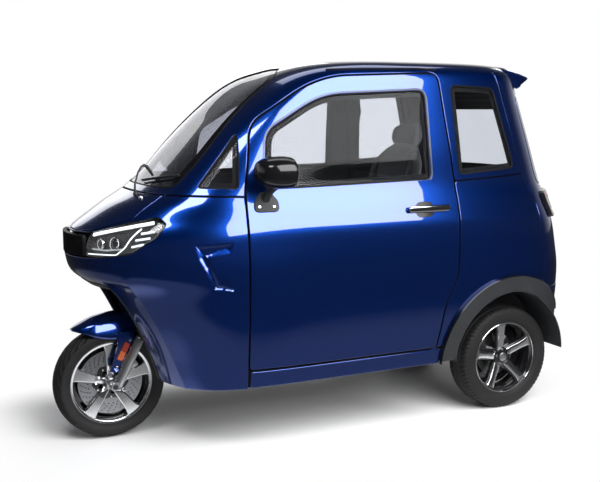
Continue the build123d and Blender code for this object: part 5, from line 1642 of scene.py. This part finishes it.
lipSettings = {"halfWidth": 328.0, "tip": 1060.0, "root": 985.0, "thick": 12.0}


def skinTop(x, y):
    # height of the roof over a place
    low, high = 1300.0, bodyTop + 1
    for _ in range(24):
        middle = (low + high) / 2
        if outside(np.array([[x, y, middle]]))[0] < 0:
            low = middle
        else:
            high = middle
    return low


lipPoints = []
lipAcross = np.linspace(-1, 1, 45)
for share in lipAcross:
    y = lipSettings["halfWidth"] * share
    drop = skinTop(850, 0) - skinTop(850, y)
    reach = lipSettings["root"] + (lipSettings["tip"] - lipSettings["root"]) * max(0.0, 1 - abs(share) ** 7) ** 0.5
    top = []
    for t in np.linspace(0, 1, 12):
        x = 850 + (reach - 850) * t
        bow = np.interp(x, [850, 905, 965, 1060], [skinTop(850, y) - 1.0, 1645.5 - drop, 1630.5 - drop, 1598 - drop])
        top.append((x, y, min(bow, skinTop(850, y) - 1 if t < 0.05 else bow)))
    edge = [(reach + 1.5, y, top[-1][2] - 3), (reach + 1.0, y, top[-1][2] - 9),
            (reach - 3, y, top[-1][2] - lipSettings["thick"])]
    under = [(1030 if reach > 1034 else reach - 6, y, top[-1][2] - 14),
             (985 if reach > 990 else reach - 12, y, 1572 - drop),
             (950, y, 1560 - drop), (850, y, 1600 - drop)]
    lipPoints += top + edge + under
rowSize = len(lipPoints) // len(lipAcross)
roofLip = smoothPiece("roofLip", (lipPoints, tubeFaces(len(lipAcross), rowSize)), paint, "body", "body_blue", 40)
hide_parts("roof_cap")
smoothPiece("highStopLamp", joinForms([([(1052 + a, b, 1580 + c) for a in (0, 4) for b in (-70, 70) for c in (-4, 4)],
        [(0, 1, 3, 2), (4, 6, 7, 5), (0, 4, 5, 1), (2, 3, 7, 6), (0, 2, 6, 4), (1, 5, 7, 3)])]),
        redLamp, "body", "lamp_red")

chin = panel("chinLip", views["nose"], onEnd(roundedLine([(-203, 691, 4), (-203, 713, 4), (203, 713, 4),
        (203, 691, 4)])), [], "body", "black_trim", [trimBlack], edge=2.0, depth=22.0, sink=-2.0, gap=12.0)
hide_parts("chin_lip")
for side in (-1, 1):
    edgeRows = np.array([(side * 202.0, z) for z in np.linspace(286, 690, 60)])
    trimAlong("wheelOpeningEdge" + ("Left" if side < 0 else "Right"), onEnd(edgeRows),
              [(-4, 2.5), (4, 2.5), (4, -18), (-4, -18)],
              "body", "black_trim", trimBlack, closed=False)
flareArc = overArch("bead", 0.02, math.pi - 0.01, 130)
flareArc = flareArc[flareArc[:, 0] < 1150]
flareBead = trimAlong("flareBeadLeft", onSide(flareArc),
        [(-2.2, 15.5), (0, 17.2), (2.2, 15.5), (2.2, -1), (-2.2, -1)], "body", "black_trim", glossBlack, closed=False)
mirrorPiece(flareBead)
gutterLine = onSide(np.array([(x, np.interp(x, [-160, 60, 330, 430],
        [1598, 1606, 1611, 1606])) for x in np.linspace(-120, 420, 60)]))
gutter = trimAlong("gutterLeft", gutterLine, [(-4, 4), (4, 4), (4, -2), (-4, -2)], "body", "black_trim", sealRubber,
                   closed=False)
mirrorPiece(gutter)
print("stage: tail and trim")

# door mirrors and handles

mirrorSettings = {"y": -620.0, "z": 1187.0, "power": 2.5}
podRows = [(-536, 6, 4), (-535, 24, 18), (-531, 44, 33), (-521, 62, 45), (-502, 78, 55), (-470, 89, 62),
           (-432, 94.5, 64.5),
           (-404, 95, 62), (-400.5, 93.5, 60.5), (-400.5, 88, 55), (-405, 87, 54)]


def ovalRows(rows, centreY, centreZ, power, sides=56):
    points = []
    for x, across, up in rows:
        for a in circleTurns(sides):
            y, z = (math.copysign(abs(part) ** (2 / power), part) for part in (math.cos(a), math.sin(a)))
            points.append((x, centreY + across * y, centreZ + up * z))
    return points, tubeFaces(len(rows), sides)


podForm = ovalRows(podRows, mirrorSettings["y"], mirrorSettings["z"], mirrorSettings["power"])
armForm = rodForm([(-442, -484, 1070), (-440, -500, 1086), (-436, -530, 1108), (-434, -562, 1126),
                   (-434, -590, 1142)], [21, 17, 15, 17, 20], 28)
mirrorPod = smoothPiece("mirrorPodLeft", podForm, glossBlack, "door_left", "gloss_black", 35)
mirrorArm = smoothPiece("mirrorArmLeft", armForm, trimBlack, "door_left", "black_trim", 35)
mirrorFace = smoothPiece("mirrorFaceLeft",
        ovalRows([(-406, 86, 53), (-402.6, 86, 53), (-402.2, 84, 51)], mirrorSettings["y"], mirrorSettings["z"], 2.5),
        chromed, "door_left", "chrome", 35)
mirrorFoot = panel("mirrorFootLeft", views["left"],
        onSide(roundedLine([(-494, 1016, 22), (-490, 1060, 24), (-462, 1098, 12), (-420, 1098, 12),
        (-390, 1060, 24), (-386, 1016, 22)], gap=4.0)),
        [], "door_left", "black_trim", [trimBlack], edge=3.0, depth=7.5, sink=-8.0, gap=10.0)
footBolts = []
for spot in onSide([(-471, 1038), (-411, 1038)]):
    way = outFrom(spot)
    footBolts.append(rodForm([spot + way * h for h in (6, 10.5, 11.5)], [6, 6, 4.5], 12))
footBolts = smoothPiece("mirrorBoltsLeft", joinForms(footBolts), chromed, "door_left", "chrome", 30)
handleForms = []
handleMid, handleHalf, handleZ = 326.0, 106.0, 997.0
barPoints = []
for t in np.linspace(-1, 1, 33):
    x = handleMid + handleHalf * t
    round_ = max(0.05, 1 - max(0.0, (abs(t) * handleHalf - (handleHalf - 10)) / 10) ** 2) ** 0.5
    spot = onSide([(x, handleZ)])[0]
    way = outFrom(spot)
    for a in circleTurns(20):
        c, s = math.cos(a), math.sin(a)
        barPoints.append(spot + way * (19.5 + 5.2 * round_ * c) + np.array([0, 0,
                14.0 * round_ * math.copysign(abs(s) ** 0.7, s)]))
handleForms.append((barPoints, tubeFaces(33, 20)))
for x in (242, 408):
    spot = onSide([(x, handleZ)])[0]
    way = outFrom(spot)
    handleForms.append(rodForm([spot + way * h for h in (0.5, 3, 10, 18)], [13, 10.5, 9, 9], 24))
# painted shade: a gloss black plate 0.9 mm proud of the door under the handle, standing for the shadow in the
# handle's recess
handleShadePlate = panel("handleCupLeft", views["left"],
                  onSide(roundedLine([(262, 962, 30), (262, 1030, 30), (356, 1030, 30), (356, 962, 30)], gap=4.0)),
                  [], "door_left", "gloss_black", [glossBlack], edge=1.0, depth=2.0, sink=-0.9, gap=10.0)
handle = smoothPiece("doorHandleLeft", joinForms(handleForms), chromed, "door_left", "chrome", 40)
for piece in (mirrorPod, mirrorArm, mirrorFace, mirrorFoot, footBolts, handleShadePlate, handle):
    twin = mirrorPiece(piece)
    if piece is mirrorPod:
        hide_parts("door_mirror_left")
        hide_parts("door_mirror_right")
    if piece is handle:
        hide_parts("door_handle_left")
        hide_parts("door_handle_right")
print("stage: mirrors and handles")

# seats: padded forms blown up a little by a cloth simulation

def padGrid(half, power, powerUp, steps):
    # a closed cushion form about its own middle
    points, faces, at = [], [], {}
    for axis in range(3):
        for side in (-1, 1):
            for i in range(steps + 1):
                for j in range(steps + 1):
                    place = [0.0, 0.0, 0.0]
                    place[axis] = side
                    place[(axis + 1) % 3] = math.tan((i / steps - 0.5) * math.pi / 2)
                    place[(axis + 2) % 3] = math.tan((j / steps - 0.5) * math.pi / 2)
                    at[axis, side, i, j] = len(points)
                    points.append(place)
            for i in range(steps):
                for j in range(steps):
                    quad = (at[axis, side, i, j], at[axis, side, i + 1, j], at[axis, side, i + 1, j + 1],
                            at[axis, side, i, j + 1])
                    faces.append(quad if side > 0 else quad[::-1])
    points = np.array(points)
    size = np.abs(points[:, 0]) ** power + np.abs(points[:, 1]) ** power + np.abs(points[:, 2]) ** powerUp
    scale = np.ones(len(points))
    for _ in range(30):       # scale each direction out to the rounded box
        value = np.abs(points[:, 0] * scale) ** power + np.abs(points[:, 1] * scale) ** power + np.abs(points[:,
                2] * scale) ** powerUp
        scale *= value ** (-1 / max(power, powerUp))
    return points * scale[:, None] * np.array(half, float), faces


def stuffed(name, form, material, channels, voxel=8.0, cap=7.0):
    # remeshed, blown up by cloth pressure within a cap, subdivided, then its sewn channels pressed in
    piece = bpy.data.objects.new(name, bareMesh(name, *form))
    scene.collection.objects.link(piece)
    recalculate(piece.data, 1e-5)
    remesh = piece.modifiers.new("even", "REMESH")
    remesh.mode = "VOXEL"
    remesh.voxel_size = voxel * mm
    even = madeMesh(piece)
    piece.modifiers.clear()
    piece.data = even
    rest = numbersOf(even.vertices, "co")
    clothModifier = piece.modifiers.new("stuffing", "CLOTH")
    settings = clothModifier.settings
    settings.use_pressure = True
    settings.uniform_pressure_force = 4.0
    settings.effector_weights.gravity = 0.0
    settings.quality = 5
    clothModifier.collision_settings.use_collision = False
    for frameNumber in range(1, 21):
        scene.frame_set(frameNumber)
    blown = madeMesh(piece)
    piece.modifiers.clear()
    way = numbersOf(blown.vertices, "co") - rest
    way *= np.minimum(1.0, cap * mm / np.maximum(np.linalg.norm(way, axis=1), 1e-9))[:, None]
    even.vertices.foreach_set("co", (rest + way).ravel())
    even.update()
    scene.frame_set(1)
    smooth = piece.modifiers.new("smooth", "SUBSURF")
    smooth.levels = smooth.render_levels = 1
    made = madeMesh(piece)
    piece.modifiers.clear()
    piece.data = made
    made.name = name
    spots = numbersOf(made.vertices, "co")
    press = np.zeros(len(spots))
    for axis, place, width, depth in channels:
        press = np.maximum(press, depth * mm * np.exp(-((spots[:, axis] / mm - place) / width) ** 2))
    made.vertices.foreach_set("co", (spots - numbersOf(made.vertices, "normal") * press[:, None]).ravel())
    made.materials.clear()
    made.materials.append(material)
    made.shade_smooth()
    made.update()
    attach(piece, "body")
    return piece


def warped(form, place, lean=0.0, wings=0.0, wide=None, crown=0.0):
    # leans a pad back, brings its sides forward and sets it in its place
    points = form[0].copy()
    y = points[:, 1]
    reachY = np.abs(y).max()
    points[:, 0] -= wings * np.clip((np.abs(y) / reachY - 0.55) / 0.4, 0, 1) ** 1.5
    points[:, 2] += crown * (1 - (y / reachY) ** 2) * (points[:, 2] > 0)
    if wide is not None:
        points[:, 1] *= np.interp(points[:, 2], wide[0], wide[1])
    points[:, 0] += np.tan(math.radians(lean)) * points[:, 2]
    return points + np.array(place, float), form[1]


cushion = warped(padGrid((228, 212, 32), 7, 3.2, 22), (172, 0, 611))
cushion[0][:, 2] += 16 * np.clip((np.abs(cushion[0][:, 1]) - 140) / 70, 0, 1) ** 1.5 * (cushion[0][:, 2] > 611)
cushion[0][:, 2] -= 14 * np.clip((cushion[0][:, 0] - 60) / 300, 0, 1) * (cushion[0][:, 2] > 611)
driverCushion = stuffed("driverCushion", cushion, cloth,
        [(1, -138, 5, 5), (1, 138, 5, 5), (0, 120, 5, 4), (0, 255, 5, 4)])
back = warped(padGrid((42, 222, 330), 4, 5, 26), (458, 0, 945), lean=12.5, wings=34,
              wide=([-330, 60, 230, 330], [0.98, 1.03, 0.90, 0.62]))
driverBack = stuffed("driverBack", back, cloth,
        [(1, -132, 5, 5), (1, 132, 5, 5), (2, 760, 5, 4), (2, 880, 5, 4), (2, 1000, 5, 4), (2, 1110, 5, 4)])
head = warped(padGrid((34, 112, 54), 3.4, 3.4, 16), (550, 0, 1308), lean=10, wings=12)
stuffed("driverHeadrest", head, clothPale, [(1, -72, 4, 3), (1, 72, 4, 3)], 7.0, 5.0)
bench = warped(padGrid((184, 256, 30), 7, 3.2, 22), (780, 0, 600))
rearCushion = stuffed("rearCushion", bench, cloth, [(1, 0, 5, 6), (0, 700, 5, 4), (0, 830, 5, 4)])
benchBack = warped(padGrid((36, 256, 196), 4, 5, 22), (1012, 0, 826), lean=6.5)
rearBack = stuffed("rearBack", benchBack, cloth, [(1, 0, 5, 6), (2, 740, 5, 4), (2, 860, 5, 4), (2, 950, 5, 4)])
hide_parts("driver_seat")
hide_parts("driver_seat")
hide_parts("rear_seat")
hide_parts("rear_seat")
headPosts = [rodForm([(522, y, 1215), (534, y, 1250), (548, y, 1290)], [6, 6, 6], 16) for y in (-48, 48)]
smoothPiece("headrestPosts", joinForms(headPosts), satin, "body", "silver_metal", 40)
buckle = rodForm([(390, -232, 640), (388, -236, 700), (386, -238, 742)], [7, 9, 12], 16)
smoothPiece("beltBuckle", buckle, cabinBlack, "body", "dark_interior", 40)
print("stage: seats")

# cabin details and the handlebar's fittings

def boxForm(low, high):
    # a block with its edges taken off
    low, high = np.array(low, float), np.array(high, float)
    form = padGrid((high - low) / 2, 9, 9, 10)
    return form[0] + (low + high) / 2, form[1]


barStart = along(865, 0)
barWay = np.array([108.0, -95.0, -22.0]) / math.sqrt(108 ** 2 + 95 ** 2 + 22 ** 2)
gripForms, leverForms = [], []
for sign in (-1, 1):
    flip = np.array([1, -sign, 1])
    end = (barStart + np.array([170, -300, 24])) * flip
    way = barWay * flip
    gripForms.append(rodForm([end - way * 118, end - way * 114, end - way * 60, end - way * 6, end + way * 4,
            end + way * 5], [17, 16, 15.2, 15.6, 16.6, 12], 28))
    start = end - way * 130
    leverForms.append(rodForm([start + (-18, 0, 4), start + way * 40 + (-46, 0, 0), end + (-56, 0, -4),
            end + way * 4 + (-52, 0, -4)], [7, 5.5, 5, 6], 14))
    leverForms.append(rodForm([start - way * 14, start + way * 10], [17, 17], 24))
smoothPiece("handlebarGrips", joinForms(gripForms), sealRubber, "steering", "dark_interior", 50)
smoothPiece("brakeLevers", joinForms(leverForms), darkSteel, "steering", "dark_steel", 40)
display = boxForm(barStart + (-34, -70, 12), barStart + (26, 70, 62))
smoothPiece("handlebarDisplay", display, glossBlack, "steering", "gloss_black", 40)
shroud = boxForm(barStart + (-40, -46, -70), barStart + (34, 46, 14))
smoothPiece("handlebarShroud", shroud, cabinBlack, "steering", "dark_interior", 40)
ventForms = [boxForm((-742, y - 44, 1030), (-730, y + 44, 1066)) for y in (-300, -120, 120, 300)]
smoothPiece("dashboardVents", joinForms(ventForms), glossBlack, "body", "gloss_black", 40)

# wiper: a sprung arm stands off its pivot and bends back to the blade on the windscreen
wiperBase = onEnd([(-121, 1078)])[0]
wiperWay = outFrom(wiperBase)
pivotForm = rodForm([wiperBase + wiperWay * h for h in (0.5, 5, 11, 13)], [12, 11.5, 8, 5], 20)
armLine = [wiperBase + wiperWay * 9, (-882, -117, 1122), (-866, -110, 1168), (-849, -105, 1192), (-836, -101, 1198),
           (-824, -98, 1192),
           (-808, -94, 1172), (-795, -90, 1152)]
hoopForm = rodForm(armLine, [5.5, 4.0, 4.0, 5.0, 6.5, 7.5, 7.0, 5.0], 14)
bladeLine = onEnd([(y, z) for y, z in zip(np.linspace(-20, -285, 20), np.linspace(1124, 1160, 20))])
bladeNormals = skinNormals(bladeLine)
bladeForm = rodForm(bladeLine + bladeNormals * 8, [3.6] * 20, 10)
rubberForm = rodForm(bladeLine + bladeNormals * 1.5, [2.2] * 20, 8)
smoothPiece("wiper", joinForms([pivotForm, hoopForm, bladeForm, rubberForm]), trimBlack, "body", "black_trim", 40)
jetBase = onEnd([(-199, 1068)])[0]
jetWay = outFrom(jetBase)
smoothPiece("washerJet", rodForm([jetBase + jetWay * h for h in (0.5, 4, 8, 10)], [10, 9.5, 6, 3], 20), chromed,
            "body", "chrome", 35)

kept = {
    "front_wheel_well": trimBlack, "wheel_flares": trimBlack, "rear_wheel_liners": trimBlack,
        "chassis_frame": darkSteel,
    "floor_tub": floorMat, "dashboard": cabinBlack, "seat_boxes": cabinBlack, "battery_block": batteryCase,
    "drive_motor": satin, "rear_axle": darkSteel, "leaf_springs": darkSteel, "steering_stem": darkSteel,
    "handlebar": darkSteel, "brake_caliper": rimBlack, "front_brake_disc": discSteel,
}
for nodeName, finish in kept.items():
    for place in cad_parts[nodeName].material_slots:
        place.material = finish
shownNodes = [n for n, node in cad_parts.items() if not node.hide_render and n not in kept]
print("stage: cabin; plain CAD still showing:", shownNodes)
triangles = sum(len(p.vertices) - 2 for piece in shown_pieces() if piece.type == "MESH" for p in piece.data.polygons)
print("triangles", triangles)
